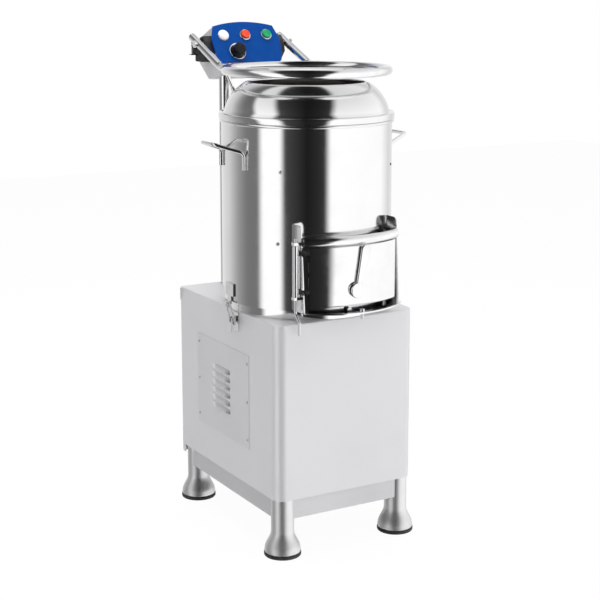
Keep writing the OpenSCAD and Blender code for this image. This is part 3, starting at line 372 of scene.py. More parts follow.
class Finish:
    """A material under construction, with its object coordinates and its shader."""

    def __init__(self, name, colour, metallic=0.0, roughness=0.5):
        material = bpy.data.materials.new(name)
        material.use_nodes = True
        self.tree = material.node_tree
        self.shader = self.tree.nodes["Principled BSDF"]
        self.shader.inputs["Metallic"].default_value = metallic
        self.shader.inputs["Roughness"].default_value = roughness
        self.shader.inputs["Base Color"].default_value = (*colour, 1.0)
        self.where = self.tree.nodes.new("ShaderNodeTexCoord").outputs["Object"]

    def group(self, name, **values):
        """One of the shared effects, with this finish's own values."""
        made = self.tree.nodes.new("ShaderNodeGroup")
        made.node_tree = bpy.data.node_groups[name]
        self.tree.links.new(self.where, made.inputs["Vector"])
        for label, value in values.items():
            made.inputs[label].default_value = value
        return made.outputs

    def into(self, label, value):
        self.tree.links.new(value, self.shader.inputs[label])

    def bump(self, height, strength, distance):
        made = self.tree.nodes.new("ShaderNodeBump")
        made.inputs["Strength"].default_value = strength
        made.inputs["Distance"].default_value = distance
        self.tree.links.new(height, made.inputs["Height"])
        self.into("Normal", made.outputs["Normal"])

    def dusted(self, height, share, tone):
        """Lays floor dust of a tone, up to a height, over the colour that is there."""
        dust = self.group("floor_dust", Height=height)["Mask"]
        clean = self.shader.inputs["Base Color"].links[0].from_socket
        share = maths(self.tree, "MULTIPLY", dust, share)
        self.into("Base Color", blend_colour(self.tree, share, clean, tone))


def times(colour, share, more=0.0):
    """A colour made darker or lighter, and never more than white."""
    return tuple(min(1, c * share + more) for c in colour)


def steel(name, colour, low, high, stretch, bump=0.05, smudge=9.0, dark=0.9, metallic=1.0):
    """Stainless steel: brushed lines in the roughness and a breath of smudges in the tone."""
    mark_tone, line_tone, line_rough, mark_rough, depth = 0.5, 0.35, 0.6, 0.4, 0.0004
    made = Finish(name, colour, metallic)
    tree = made.tree
    lines = made.group("brushed_lines", Stretch=stretch)
    marks = made.group("handling_smudges", Scale=smudge)["Mask"]
    tone = maths(tree, "MULTIPLY", marks, mark_tone)
    grained = maths(tree, "MULTIPLY", lines["Fine"], line_tone)
    share = maths(tree, "ADD", tone, grained)
    made.into("Base Color", blend_colour(tree, share, colour, times(colour, dark)))
    mixed = maths(tree, "ADD", maths(tree, "MULTIPLY", lines["Lines"], line_rough),
                  maths(tree, "MULTIPLY", marks, mark_rough))
    made.into("Roughness", spread(tree, mixed, 0.2, 0.8, low, high))
    made.bump(lines["Lines"], bump, depth)
    return made


def moulded(name, colour, low, high, scale, bump, lighter=1.25, distance=0.0003):
    """Plastic, rubber or paint: a pebbled grain, rubbed paler along the edges."""
    grain_dark, wear_amount, wear_lift = 0.86, 0.6, 0.01
    made = Finish(name, colour)
    tree = made.tree
    grain = made.group("pebbled_grain", Scale=scale)
    wear = made.group("edge_wear", Amount=wear_amount)["Mask"]
    base = blend_colour(tree, grain["Tone"], colour, times(colour, grain_dark))
    worn = times(colour, lighter, wear_lift)
    made.into("Base Color", blend_colour(tree, wear, base, worn))
    made.into("Roughness", spread(tree, grain["Tone"], 0.0, 1.0, low, high))
    made.bump(grain["Height"], bump, distance)
    return made


def make_finishes(colours):
    """Every finish that the machine shows."""
    polished, satin = tuple(colours.steel), tuple(colours.satin)
    # name, colour, roughness from and to, the lines' stretch, their bump, smudges per metre,
    # darkest tone, metal share
    for row in (
            ("polished_drum", polished, 0.1, 0.17, (4, 4, 340), 0.035, 5, 0.93),
            ("polished_lid", polished, 0.1, 0.17, (4, 4, 300), 0.03, 7, 0.93),
            ("door_steel", polished, 0.09, 0.16, (5, 5, 380), 0.03, 10, 0.92),
            ("satin_cabinet", satin, 0.4, 0.48, (260, 260, 4), 0.02, 4, 0.965, 0.35),
            # the skirt's colour is the satin steel made darker, painted shade for its recess under
            # the cabinet
            ("skirt_steel", times(satin, 0.95), 0.5, 0.6, (260, 260, 4), 0.02, 5, 0.95, 0.6),
            # the louvres' colour is the satin steel made lighter, a painted highlight on the
            # pressed hoods
            ("louvre_steel", times(satin, 1.15), 0.2, 0.3, (4, 7, 300), 0.02, 9, 0.9),
            ("satin_cover", times(satin, 0.98), 0.48, 0.58, (4, 7, 300), 0.02, 6, 0.96, 0.4),
            ("bright_tube", times(polished, 1.02), 0.1, 0.2, (60, 60, 60), 0.02, 16, 0.9),
            ("bright_fitting", polished, 0.16, 0.3, (120, 120, 120), 0.05, 30, 0.84),
            ("machined_steel", (0.56, 0.56, 0.57), 0.25, 0.42, (40, 40, 700), 0.12, 30, 0.7)):
        steel(*row)
    leg = steel("leg_steel", times(polished, 0.95), 0.46, 0.56, (40, 40, 260), 0.03, 12, 0.92)
    leg.dusted(0.05, 0.35, (0.5, 0.49, 0.47))

    # name, colour, roughness from and to, grains per metre, bump, paler edge, bump's depth
    pads = moulded("pad_rubber", (0.012, 0.012, 0.013), 0.5, 0.72, 700, 0.25)
    pads.dusted(0.012, 0.5, (0.12, 0.115, 0.11))
    case = moulded("black_plastic", (0.014, 0.014, 0.016), 0.28, 0.42, 1500, 0.12, 1.8)
    knob = moulded("knob_plastic", (0.01, 0.01, 0.012), 0.2, 0.34, 1800, 0.08, 2.2)
    film = moulded("panel_film", tuple(colours.fascia), 0.2, 0.3, 2200, 0.05, 1.1)
    for made, index in ((case, 1.35), (knob, 1.3), (film, 1.2)):
        made.shader.inputs["IOR"].default_value = index
    for row in (
            ("belt_rubber", (0.018, 0.018, 0.018), 0.55, 0.8, 500, 0.4),
            ("lamp_white", (0.86, 0.87, 0.87), 0.1, 0.18, 1200, 0.02, 1.02),
            ("stop_red", tuple(colours.stop), 0.16, 0.26, 1400, 0.03, 1.1),
            ("start_green", tuple(colours.start), 0.16, 0.26, 1400, 0.03, 1.15),
            ("motor_paint", tuple(colours.motor), 0.35, 0.5, 320, 0.18, 1.9),
            ("cast_paint", (0.16, 0.17, 0.18), 0.45, 0.62, 240, 0.35, 1.6, 0.0006)):
        moulded(*row)

    grit = Finish("abrasive_grit", (0.07, 0.065, 0.06), roughness=0.9)
    grain = grit.group("pebbled_grain", Scale=420)
    dark, pale = (0.035, 0.032, 0.03), (0.2, 0.19, 0.17)
    grit.into("Base Color", blend_colour(grit.tree, grain["Tone"], dark, pale))
    grit.into("Roughness", spread(grit.tree, grain["Tone"], 0.0, 1.0, 0.7, 0.95))
    grit.bump(grain["Height"], 0.9, 0.0016)


CARRIED = {
    "polished_drum": ["neck_ring", "drum_floor", "chute_frame"],
    "satin_cabinet": ["rear_panel"],
    # the skirt panels get the darker satin copy, painted shade for their recess
    "skirt_steel": ["skirt_panels"],
    "bright_tube": ["chute_bar", "hinge_rod", "lid_struts", "hinge_pins"],
    "bright_fitting": ["drum_bolts", "chute_stud", "door_hinge", "latch_keepers", "latch_bases",
                       "latch_lever_left", "latch_lever_right", "lever_cam", "drain_pipe"],
    "machined_steel": ["drive_shaft", "disc_nut", "motor_shaft", "shaft_bearings"],
    "cast_paint": ["driven_pulley", "motor_pulley", "bearing_housing", "motor_bracket"],
    "motor_paint": ["motor_body"],
    "black_plastic": ["terminal_box", "cable_gland"],
    "pad_rubber": ["door_seal", "shaft_seal"],
    "belt_rubber": ["drive_belt"],
    "abrasive_grit": ["abrasive_liner", "abrasive_disc"],
}


# ---- operators


class Maker:
    """What the makers share: their place in the add-on and how they report."""

    bl_options = {"REGISTER", "UNDO"}

    def execute(self, context):
        self.make(context.scene)
        return {"FINISHED"}


class PEELER_OT_finishes(Maker, bpy.types.Operator):
    """Builds the shader groups and every finish, and dresses the carried solids"""

    bl_idname = "peeler.finishes"
    bl_label = "Finishes"

    def make(self, scene):
        make_groups()
        make_finishes(scene.peeler_colours)
        for finish, nodes in CARRIED.items():
            for name in nodes:
                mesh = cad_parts[name].data
                mesh.materials.clear()
                mesh.materials.append(bpy.data.materials[finish])


class PEELER_OT_stage(Maker, bpy.types.Operator):
    """Sets up the floor, the studio surround, the lamps and the camera"""

    bl_idname = "peeler.stage"
    bl_label = "Stage"

    def make(self, scene):
        self.floor(scene)
        self.surround(scene)
        self.lamps(scene)
        self.camera(scene)
        scene.view_settings.view_transform = "Standard"

    def floor(self, scene):
        """White paper that the camera sees nearly white and that polished steel doesn't mirror."""
        half, paper_tone, white_share = 6.0, 0.94, 0.965
        mesh = bpy.data.meshes.new("floor")
        corners = [(-half, -half, 0), (half, -half, 0), (half, half, 0), (-half, half, 0)]
        mesh.from_pydata(corners, [], [(0, 1, 2, 3)])
        material = bpy.data.materials.new("studio_floor")
        material.use_nodes = True
        tree = material.node_tree
        tree.nodes.clear()
        out = tree.nodes.new("ShaderNodeOutputMaterial")
        path = tree.nodes.new("ShaderNodeLightPath").outputs
        paper = tree.nodes.new("ShaderNodeBsdfDiffuse")
        paper.inputs["Color"].default_value = (paper_tone, paper_tone, paper_tone, 1)
        bright = tree.nodes.new("ShaderNodeEmission")
        bright.inputs["Color"].default_value = (1, 1, 1, 1)
        clear = tree.nodes.new("ShaderNodeBsdfTransparent")
        shown = tree.nodes.new("ShaderNodeMixShader")
        seen = tree.nodes.new("ShaderNodeMixShader")
        share = maths(tree, "MULTIPLY", path["Is Camera Ray"], white_share)
        for mix, feeds in ((shown, (share, paper.outputs[0], bright.outputs[0])),
                           (seen, (path["Is Glossy Ray"], shown.outputs[0], clear.outputs[0]))):
            for feed, socket in zip(feeds, mix.inputs):
                tree.links.new(feed, socket)
        tree.links.new(seen.outputs[0], out.inputs["Surface"])
        mesh.materials.append(material)
        floor = bpy.data.objects.new("floor", mesh)
        scene.collection.objects.link(floor)

    def surround(self, scene):
        """A pale room with a dark and a grey flag in it; the camera itself sees white."""
        turned, lean, grey = 119.9, 0.75, 0.5
        # tones by the angle round the machine, in degrees
        tones = [(-180, 0.92), (-128, 0.68), (-104, 0.34), (-88, 0.2), (-69, 0.17), (-61, 1.15),
                 (-36, 1.15), (-29, 0.06), (0, 0.012), (24, 0.03), (32, 1.15), (118, 1.1),
                 (142, 0.75), (180, 0.92)]
        world = bpy.data.worlds.new("studio")
        scene.world = world
        world.use_nodes = True
        tree = world.node_tree
        tree.nodes.clear()
        out = tree.nodes.new("ShaderNodeOutputWorld")
        back = tree.nodes.new("ShaderNodeBackground")
        turn = tree.nodes.new("ShaderNodeMapping")
        turn.inputs["Rotation"].default_value = (0, 0, math.radians(turned))
        where = tree.nodes.new("ShaderNodeTexCoord").outputs["Generated"]
        tree.links.new(where, turn.inputs["Vector"])
        way = tree.nodes.new("ShaderNodeSeparateXYZ")
        tree.links.new(turn.outputs[0], way.inputs[0])
        above = maths(tree, "MAXIMUM", way.outputs["Z"], 0.0)
        ahead = maths(tree, "ADD", way.outputs["X"], maths(tree, "MULTIPLY", above, lean))
        fan = maths(tree, "ARCTAN2", way.outputs["Y"], ahead)
        share = maths(tree, "ADD", maths(tree, "DIVIDE", fan, FULL), 0.5)
        ramp = tree.nodes.new("ShaderNodeValToRGB")
        band = ramp.color_ramp
        while len(band.elements) < len(tones):
            band.elements.new(grey)
        for stop, (angle, tone) in zip(band.elements, tones):
            stop.position = (angle + 180) / 360
            stop.color = (tone, tone, tone, 1)
        tree.links.new(share, ramp.inputs[0])
        height = spread(tree, way.outputs["Z"], 0.15, 1.0, 1.0, 0.6, "LINEAR")
        shade = tree.nodes.new("ShaderNodeVectorMath")
        shade.operation = "SCALE"
        tree.links.new(ramp.outputs[0], shade.inputs[0])
        tree.links.new(height, shade.inputs["Scale"])
        path = tree.nodes.new("ShaderNodeLightPath").outputs
        shown = blend_colour(tree, path["Is Camera Ray"], shade.outputs[0], (1, 1, 1))
        tree.links.new(shown, back.inputs["Color"])
        tree.links.new(back.outputs[0], out.inputs[0])

    def lamps(self, scene):
        """Three soft square lamps, each with its place, its side in metres and its watts."""
        aim = Vector((0, 0, 0.6))
        for name, place, size, power in (("key", (-1.7, -2.4, 2.6), 2.4, 32),
                                         ("fill", (2.4, -2.2, 1.8), 2.6, 9),
                                         ("top", (0.0, 0.2, 3.6), 2.4, 112)):
            light = bpy.data.lights.new(name, "AREA")
            light.size, light.energy = size, power
            lamp = bpy.data.objects.new(name, light)
            lamp.location = place
            lamp.rotation_euler = (aim - Vector(place)).to_track_quat("-Z", "Y").to_euler()
            lamp.visible_glossy = False
            scene.collection.objects.link(lamp)

    def camera(self, scene):
        """The camera that was fitted to the photograph."""
        yaw, pitch = math.radians(29.932), math.radians(10.22)
        lens = bpy.data.cameras.new("camera")
        lens.lens, lens.sensor_width, lens.shift_y = 84.61, 36.0, -0.1
        camera = bpy.data.objects.new("camera", lens)
        camera.location = (-1.5754, -2.7709, 1.2284)
        level = math.cos(pitch)
        way = Vector((math.sin(yaw) * level, math.cos(yaw) * level, -math.sin(pitch)))
        camera.rotation_euler = way.to_track_quat("-Z", "Y").to_euler()
        scene.collection.objects.link(camera)
        scene.camera = camera


def cabinet_line(inset, half, corner, arc=10):
    """The cabinet's plan from rear left, round the front, to rear right."""
    opening_back, opening_front = 190.0, -35.0
    line = [(-half + inset, y) for y in (BACK_Y, opening_back, opening_front)]
    r = corner - inset
    for side, start in ((-1, 180), (1, 270)):
        x, y = side * (half - corner), FRONT_Y + corner
        turns = [math.radians(start + 90 * k / arc) for k in range(arc + 1)]
        line += [(x + r * math.cos(t), y + r * math.sin(t)) for t in turns]
    return line + [(half - inset, BACK_Y)]


class PEELER_OT_cabinet(Maker, bpy.types.Operator):
    """Builds the folded cabinet cover with its rounded corners and deck edge"""

    bl_idname = "peeler.cabinet"
    bl_label = "Cabinet"

    def make(self, scene):
        sizes = scene.peeler_cabinet
        half, corner, edge = (v / MM for v in (sizes.half_width, sizes.corner, sizes.edge))
        foot, opening_low, opening_high, fold_z = 130.0, 229.0, 413.0, CABINET_TOP - edge
        shape, steps = Shape(), 6
        plan = cabinet_line(0, half, corner)
        rows = [[(x, y, z) for x, y in plan] for z in (foot, opening_low, opening_high, fold_z)]
        shape.grid(rows, keep=lambda i, j: (i, j) != (1, 1))
        fold = []
        for k in range(steps + 1):
            a = QUARTER * k / steps
            inset, z = edge * (1 - math.cos(a)), CABINET_TOP - edge * (1 - math.sin(a))
            line = cabinet_line(inset, half, corner)
            line = [(line[0][0], DECK_BACK)] + line + [(line[-1][0], DECK_BACK)]
            fold.append([(x, y, z) for x, y in line])
        shape.grid(fold)
        shape.add(fold[-1], [list(range(len(fold[-1])))])
        for x in (-half, half):
            shape.add([(x, BACK_Y, DECK_UNDER), (x, BACK_Y, fold_z), (x, DECK_BACK, fold_z),
                       (x, DECK_BACK, DECK_UNDER)], [[0, 1, 2, 3]])
        piece("cabinet_cover", shape, "satin_cabinet", "machine", ("cabinet_shell", "top_deck"),
              solid=SHEET * MM, sharp=40)


class PEELER_OT_access_cover(Maker, bpy.types.Operator):
    """Builds the screwed cover in the left side with its pressed louvres"""

    bl_idname = "peeler.access_cover"
    bl_label = "Access cover"

    def make(self, scene):
        sizes = scene.peeler_cabinet
        thick, cover_y, cover_z, lap = 1.2, (-50.0, 205.0), (214.0, 428.0), 2
        first_y, long, first_z, pitch, tall, deep = 40.0, 86.0, 271.0, 18.4, 11.0, 3.88
        face = -sizes.half_width / MM - thick
        lows = [first_z + i * pitch for i in range(sizes.louvres)]
        ys = [cover_y[0], first_y + lap, first_y + long - lap, cover_y[1]]
        zs = [cover_z[0]] + [z for low in lows for z in (low, low + tall / 2)] + [cover_z[1]]
        shape = Shape()
        shape.grid([[(face, y, z) for y in ys] for z in zs],
                   keep=lambda i, j: not (i % 2 == 1 and j == 1))
        piece("louvre_cover", shape, "satin_cover", "machine", ("access_cover",),
              solid=thick * MM)
        hoods = Shape()
        across, down = 18, 8
        for low in lows:
            rows = []
            for v in (a / down for a in range(down + 1)):
                row = []
                for u in (b / across for b in range(across + 1)):
                    swell = min(1.0, 5 * min(u, 1 - u)) ** 0.6
                    out = deep * math.sin(v * QUARTER) * swell
                    row.append((face - out, first_y + u * long, low + tall * (1 - v)))
                rows.append(row)
            hoods.grid(rows)
        # the hoods' finish is a lighter copy of the cover's satin steel, a painted highlight
        piece("louvre_hoods", hoods, "louvre_steel", "machine", (),
              solid=0.0008, sharp=60)
        screws = Shape()
        head = [(0, 1.1), (0.9, 1.1), (1.1, 1.75), (2.2, 1.6), (3.1, 1.0), (3.5, 0.3), (3.5, 0.0),
                (0, 0.0)]
        for y in (-42.5, 197.5):
            for z in (234.0, 321.0, 408.0):
                screws.lathe(head, about("Y", -90, (face, y, z)), 24)
        piece("pan_screws", screws, "bright_fitting", "machine", ("cover_screws",),
              sharp=50)


class PEELER_OT_legs(Maker, bpy.types.Operator):
    """Builds the four tube legs with bell feet, and their rubber pads"""

    bl_idname = "peeler.legs"
    bl_label = "Legs"

    def make(self, scene):
        sizes = scene.peeler_cabinet
        tube, foot = sizes.leg_radius / MM, sizes.foot_radius / MM
        wall, bell_low, bell_top, steps = 1.5, 15.5, 56, 16
        profile = [(0, 9.0), (foot - 1.5, 9.0), (foot - 0.4, 9.5), (foot, 10.8), (foot, 13.5),
                   (foot - 0.5, bell_low)]
        for k in range(1, steps + 1):
            s = k / steps
            ease = ((1 - math.cos(math.pi * s)) / 2) ** 0.92
            profile.append((foot - 0.5 - (foot - 0.5 - tube - 0.05) * ease,
                            bell_low + (bell_top - bell_low) * s))
        profile += [(tube, bell_top + 1), (tube, DECK_UNDER), (tube - wall, DECK_UNDER),
                    (tube - wall, 60.0), (0, 60.0)]
        pads = Shape()
        pad = [(0, 0), (foot - 2, 0), (foot - 0.2, 0.4), (foot + 0.7, 1.4), (foot + 1, 2.6),
               (foot + 1, 6.8), (foot + 0.6, 8.2), (foot - 0.4, 9.0), (0, 9.0)]
        for name, (x, y) in LEGS.items():
            leg = Shape()
            leg.lathe(profile, Matrix.Translation((x, y, 0)), 72)
            piece("turned_" + name, leg, "leg_steel", "machine", (name,), sharp=38)
            pads.lathe(pad, Matrix.Translation((x, y, 0)), 72)
        piece("rubber_pads", pads, "pad_rubber", "machine", ("foot_pads",),
              sharp=40)


class PEELER_OT_drum(Maker, bpy.types.Operator):
    """Builds the drum wall with its window, rolled bead and water stub"""

    bl_idname = "peeler.drum"
    bl_label = "Drum"

    def make(self, scene):
        r, front, window_half, steps = scene.peeler_drum.radius / MM, -QUARTER, 96.0, 180
        edge, shift = math.asin(window_half / r), math.pi * 1.5
        low, high = front - edge, front + edge
        turns = [low, high] + [front + FULL * (k + 0.5) / steps for k in range(steps)]
        turns = sorted({round((a + shift) % FULL - shift, 9) for a in turns})
        after = turns[1:] + [turns[0] + FULL]
        # the window lies between the second and the fifth level
        levels = [FLOOR_Z, 569.0, 600.0, 640.0, 687.0, 740.0, 800.0, 860.0, 900.0, DRUM_TOP]
        rows = [[(r * math.cos(a), r * math.sin(a), z) for a in turns] for z in levels]

        def keep(i, j):
            return not (1 <= i <= 3 and low < (turns[j] + after[j]) / 2 < high)

        shape = Shape()
        shape.grid(rows, keep, loop=True)
        piece("drum_wall", shape, "polished_drum", "machine", ("drum_shell",),
              solid=SHEET * MM, sharp=50)
        trims = Shape()
        trims.lathe(oval(r + 1, DRUM_TOP - 3.5, 3.5, 3.5, 20), None, steps, closed=True)
        inlet = [(7.5, -6), (10.5, -6), (10.5, 0), (14, 0.2), (14, 3), (10.5, 3), (10.5, 23.4),
                 (9.9, 24), (8.1, 24), (7.5, 23.4), (7.5, -6)]
        trims.lathe(inlet, about("X", -90, (0, r, 885)), 40)
        piece("drum_trims", trims, "polished_lid", "machine", (), sharp=40)


class PEELER_OT_handles(Maker, bpy.types.Operator):
    """Builds the two bent rod handles on the drum"""

    bl_idname = "peeler.handles"
    bl_label = "Drum handles"

    def make(self, scene):
        shape, rod = Shape(), scene.peeler_drum.rod / MM
        leg_y, foot_z = 54, 840
        for side in (-1, 1):
            leg_x, grip_x = side * 186.4, side * 244.5
            path = [(leg_x, -leg_y, foot_z), (leg_x, -leg_y, 877), (grip_x, -30, 896),
                    (grip_x, 30, 896), (leg_x, leg_y, 877), (leg_x, leg_y, foot_z)]
            shape.tube(rounded(path, 11), rod)
            for y in (-leg_y, leg_y):
                ends = [(leg_x - side * 0.6, y, z) for z in (foot_z + 1, foot_z + 29)]
                shape.tube(ends, rod + 0.5)
        piece("side_handles", shape, "bright_tube", "machine", ("drum_handles",),
              sharp=40)


def dome_profile():
    """The lid's section from the locating skirt, over the dome, to the open mouth."""
    foot, top, rise, bulge, base = 184.0, 136.0, 66.0, 96.0, 940.4
    chord = Vector((top - foot, rise))
    half = math.asin(chord.length / 2 / bulge)
    facing = math.atan2(chord.y, chord.x) - QUARTER
    out = Vector((math.cos(facing), math.sin(facing)))
    hub = Vector((foot, 0)) + chord / 2 - bulge * math.cos(half) * out
    outer = [(184.4, base - 8), (184.4, base), (193.6, base), (194.6, base + 0.5),
             (195, base + 1.6), (195, base + 11.8), (194.5, base + 13.2), (193.2, base + 14),
             (186.5, base + 14), (184.9, base + 14.5)]
    steps = 20
    arc = []
    for k in range(steps + 1):
        a = facing + half * (2 * k / steps - 1)
        arc.append((hub.x + bulge * math.cos(a), hub.y + bulge * math.sin(a) + base + 14))
    outer += [(r, z) for r, z in arc if z > base + 15.5]
    outer += [(135.0, base + 80), (130.2, base + 80), (129.2, base + 79.6), (129, base + 78),
              (129, base + 76.6), (130, base + 76)]
    inner = [(r - 2, z - 0.6) for r, z in reversed(arc) if z > base + 18 and r - 2 > 134]
    return outer + inner + [(182.4, base + 12), (182.4, base - 8), (184.4, base - 8)]


class PEELER_OT_lid(Maker, bpy.types.Operator):
    """Builds the domed lid, its hoop handle with the bent arms, and the welds"""

    bl_idname = "peeler.lid"
    bl_label = "Lid"

    def make(self, scene):
        sizes = scene.peeler_lid
        dome = Shape()
        dome.lathe(dome_profile(), None, 180)
        piece("domed_lid", dome, "polished_lid", "lid", ("lid_dome",), sharp=38)
        hoop_r, tube, bend = (v / MM for v in (sizes.hoop_radius, sizes.tube, sizes.arm_bend))
        z, arm_x, bend_y, end_y, climb = 1046.0, 117.0, 187, 336, math.radians(23)
        hoop = Shape()
        hoop.lathe(oval(hoop_r, z, tube, tube, 28), None, 160, closed=True)
        start, end = math.sqrt(hoop_r ** 2 - arm_x ** 2), z + (end_y - bend_y) * math.tan(climb)
        for x in (-arm_x, arm_x):
            path = [(x, start, z), (x, bend_y, z), (x, end_y, end)]
            hoop.tube(rounded(path, bend, 12), tube - 0.5, 28)
            weld = oval(tube - 0.9, 0.0, 1.5, 1.5, 10)
            hoop.lathe(weld, about("X", 90, (x, start + tube * 0.95, z)), 32, closed=True)
            hoop.box((x - 7, 326, end - 42), (x + 7, 329, end))
            hoop.box((x - 7, 326, end - 42), (x + 7, 342, end - 39))
        piece("lid_handle_hoop", hoop, "bright_tube", "lid", ("lid_hoop",),
              sharp=40)


class PEELER_OT_door(Maker, bpy.types.Operator):
    """Builds the curved discharge door with its folded edges and the clamp lever"""

    bl_idname = "peeler.door"
    bl_label = "Discharge door"

    def make(self, scene):
        self.skin(scene.peeler_drum)
        self.lever()

    def skin(self, sizes):
        """The curved plate with its folded rim."""
        r, hem = sizes.door_radius / MM, sizes.door_hem / MM
        low, high, depth, steps = 558.0, 687.0, 12.0, 5
        half = math.asin(108.0 / r)
        arc = [QUARTER * k / steps for k in range(steps + 1)]
        section = [(r - depth, low)]
        section += [(r - hem + hem * math.sin(a), low + hem - hem * math.cos(a)) for a in arc]
        section += [(r - hem + hem * math.cos(a), high - hem + hem * math.sin(a)) for a in arc]
        section.append((r - depth, high))
        turns = [-half + 2 * half * k / 48 for k in range(49)]
        shape = Shape()
        shape.grid([[(q * math.sin(t), -q * math.cos(t), z) for q, z in section] for t in turns])
        for t in (-half, half):
            shape.grid([[(q * math.sin(t), -q * math.cos(t), z) for q in (r - depth, r - 0.4)]
                        for z in (low + 0.3, high - 0.3)])
        piece("door_skin", shape, "door_steel", "door", ("door_plate",),
              solid=0.0015, sharp=50)

    def lever(self):
        """The flat lever: it widens along its length, then rounds off at the tip."""
        long, root, tip, thick, tip_at, thin_at = 100.0, 6.0, 12.0, 2.9, 0.88, 0.93
        lever = Shape()
        place = about("X", 90, (-8.0, -226.0, 592.0))
        hub = [(0, 0), (15.8, 0), (17, 1.2), (17, 6.2), (16.2, 8.0), (13.5, 9.0), (0, 9.0)]
        lever.lathe(hub, place, 48)
        tilt = place @ Matrix.Rotation(math.radians(-13), 4, "Z")

        def falloff(s, start):
            return math.sqrt(max(0.0, 1 - ((s - start) / (1 - start)) ** 2))

        rows, stations, around = [], 28, 20
        for s in (k / stations for k in range(stations + 1)):
            if s < tip_at:
                w = root + (tip - root) * (s / tip_at) ** 1.15
            else:
                w = tip * falloff(s, tip_at)
            h = thick * (1 if s < thin_at else max(0.15, falloff(s, thin_at)))
            ring = []
            for a in (FULL * j / around for j in range(around)):
                c, d = math.cos(a), math.sin(a)
                ring.append(tilt @ Vector((w * math.copysign(abs(c) ** 0.6, c), long * s,
                                           4.5 + h * math.copysign(abs(d) ** 0.75, d))))
            rows.append(ring)
        lever.grid(rows, loop=True)
        lever.add(rows[0], [list(range(around))])
        piece("clamp_lever", lever, "bright_tube", "door_lever", ("lever_handle",),
              sharp=45)


class PEELER_OT_latches(Maker, bpy.types.Operator):
    """Builds the wire bails of the two toggle latches"""

    bl_idname = "peeler.latches"
    bl_label = "Latches"

    def make(self, scene):
        low, top, y, near, far = 493.0, 541.9, 6.0, 5, 10.3
        for side, body, node in ((-1, "left_bail", "latch_bail_left"),
                                 (1, "right_bail", "latch_bail_right")):
            shape = Shape()
            x, bar = side * 186.0, side * 197.0
            path = [(x, y - near, low), (x, y - far, low), (bar, y - far, top),
                    (bar, y + far, top), (x, y + far, low), (x, y + near, low)]
            shape.tube(rounded(path, 2.6, 5), 1.6, 16)
            piece("wire_" + node, shape, "bright_tube", body, (node,), sharp=40)


# side outlines, as shares of the sizes that they are drawn at
HOUSING = [(0, 0.328), (0.04, 0.104), (0.23, 0.016), (0.545, 0), (0.935, 0.288), (1, 0.736),
           (0.374, 1)]
HINGE_BLOCK = [(-0.35, -0.45), (0.1, -0.95), (1, -0.95), (1, -0.55), (0.45, 0.32), (0.1, 0.42),
               (-0.2, 0.15)]


class PEELER_OT_control_box(Maker, bpy.types.Operator):
    """Builds the sloping control housing, its blue fascia, posts and hinge blocks"""

    bl_idname = "peeler.control_box"
    bl_label = "Control box"

    def make(self, scene):
        sizes = scene.peeler_controls
        width, block_width, block_lows = 162, 25.2, (-106.4, 81.2)
        shape = Shape()
        shape.prism([(260 + 123 * a, 1009 + 125 * b) for a, b in HOUSING], width,
                    Matrix.Translation((-width / 2, 0, 0)) @ ACROSS)
        piece("housing_box", shape, "satin_cover", "machine", ("control_housing",),
              edge=sizes.edge, segments=4, sharp=20)
        self.fascia(sizes.fascia_edge)
        self.posts()
        blocks = Shape()
        outline = [(300 + 45 * a, 1093.97 + 45 * b) for a, b in HINGE_BLOCK]
        for low in block_lows:
            blocks.prism(outline, block_width, Matrix.Translation((low, 0, 0)) @ ACROSS)
        piece("pivot_blocks", blocks, "black_plastic", "machine", ("hinge_blocks",),
              edge=0.003, segments=4, sharp=20)

    def fascia(self, edge):
        """The blue panel: soft shoulders, and a crown in one shallow arc."""
        half, tall, thick, steps = 90.5, 106.0, 2.5, 24
        shares = [(0.895, 0), (0.972, 0.19), (0.994, 0.42), (1, 0.6), (0.884, 0.896)]
        right = [Vector((a * half, b * tall, 0)) for a, b in shares]
        soft = rounded([right[0] - Vector((20, 0, 0))] + right, 9, 5)[1:]
        brow = soft[-1]
        rise = tall - brow.y
        arch = (brow.x ** 2 + rise ** 2) / (2 * rise)
        sweep = math.asin(brow.x / arch)
        crown = [(arch * math.sin(a), tall - arch * (1 - math.cos(a)))
                 for a in (sweep * (1 - 2 * k / steps) for k in range(1, steps))]
        outline = [(p.x, p.y) for p in soft] + crown + [(-p.x, p.y) for p in reversed(soft)]
        fascia = Shape()
        fascia.prism(outline, thick, BLUE_PANEL)
        piece("blue_fascia", fascia, "panel_film", "machine", ("control_panel",),
              edge=edge, sharp=40)

    def posts(self):
        """The two tube posts, with the weld round each foot."""
        outer, inner, foot, top = 15, 13.5, CABINET_TOP + 0.3, 1038
        posts = Shape()
        for x in (-60, 60):
            place = Matrix.Translation((x, 279, 0))
            posts.lathe([(outer, foot), (outer, top), (inner, top), (inner, foot)], place, 48,
                        closed=True)
            posts.lathe(oval(outer, CABINET_TOP + 1.4, 1.6, 1.2, 10), place, 48, closed=True)
        piece("tube_posts", posts, "bright_tube", "machine", ("housing_posts",),
              sharp=40)


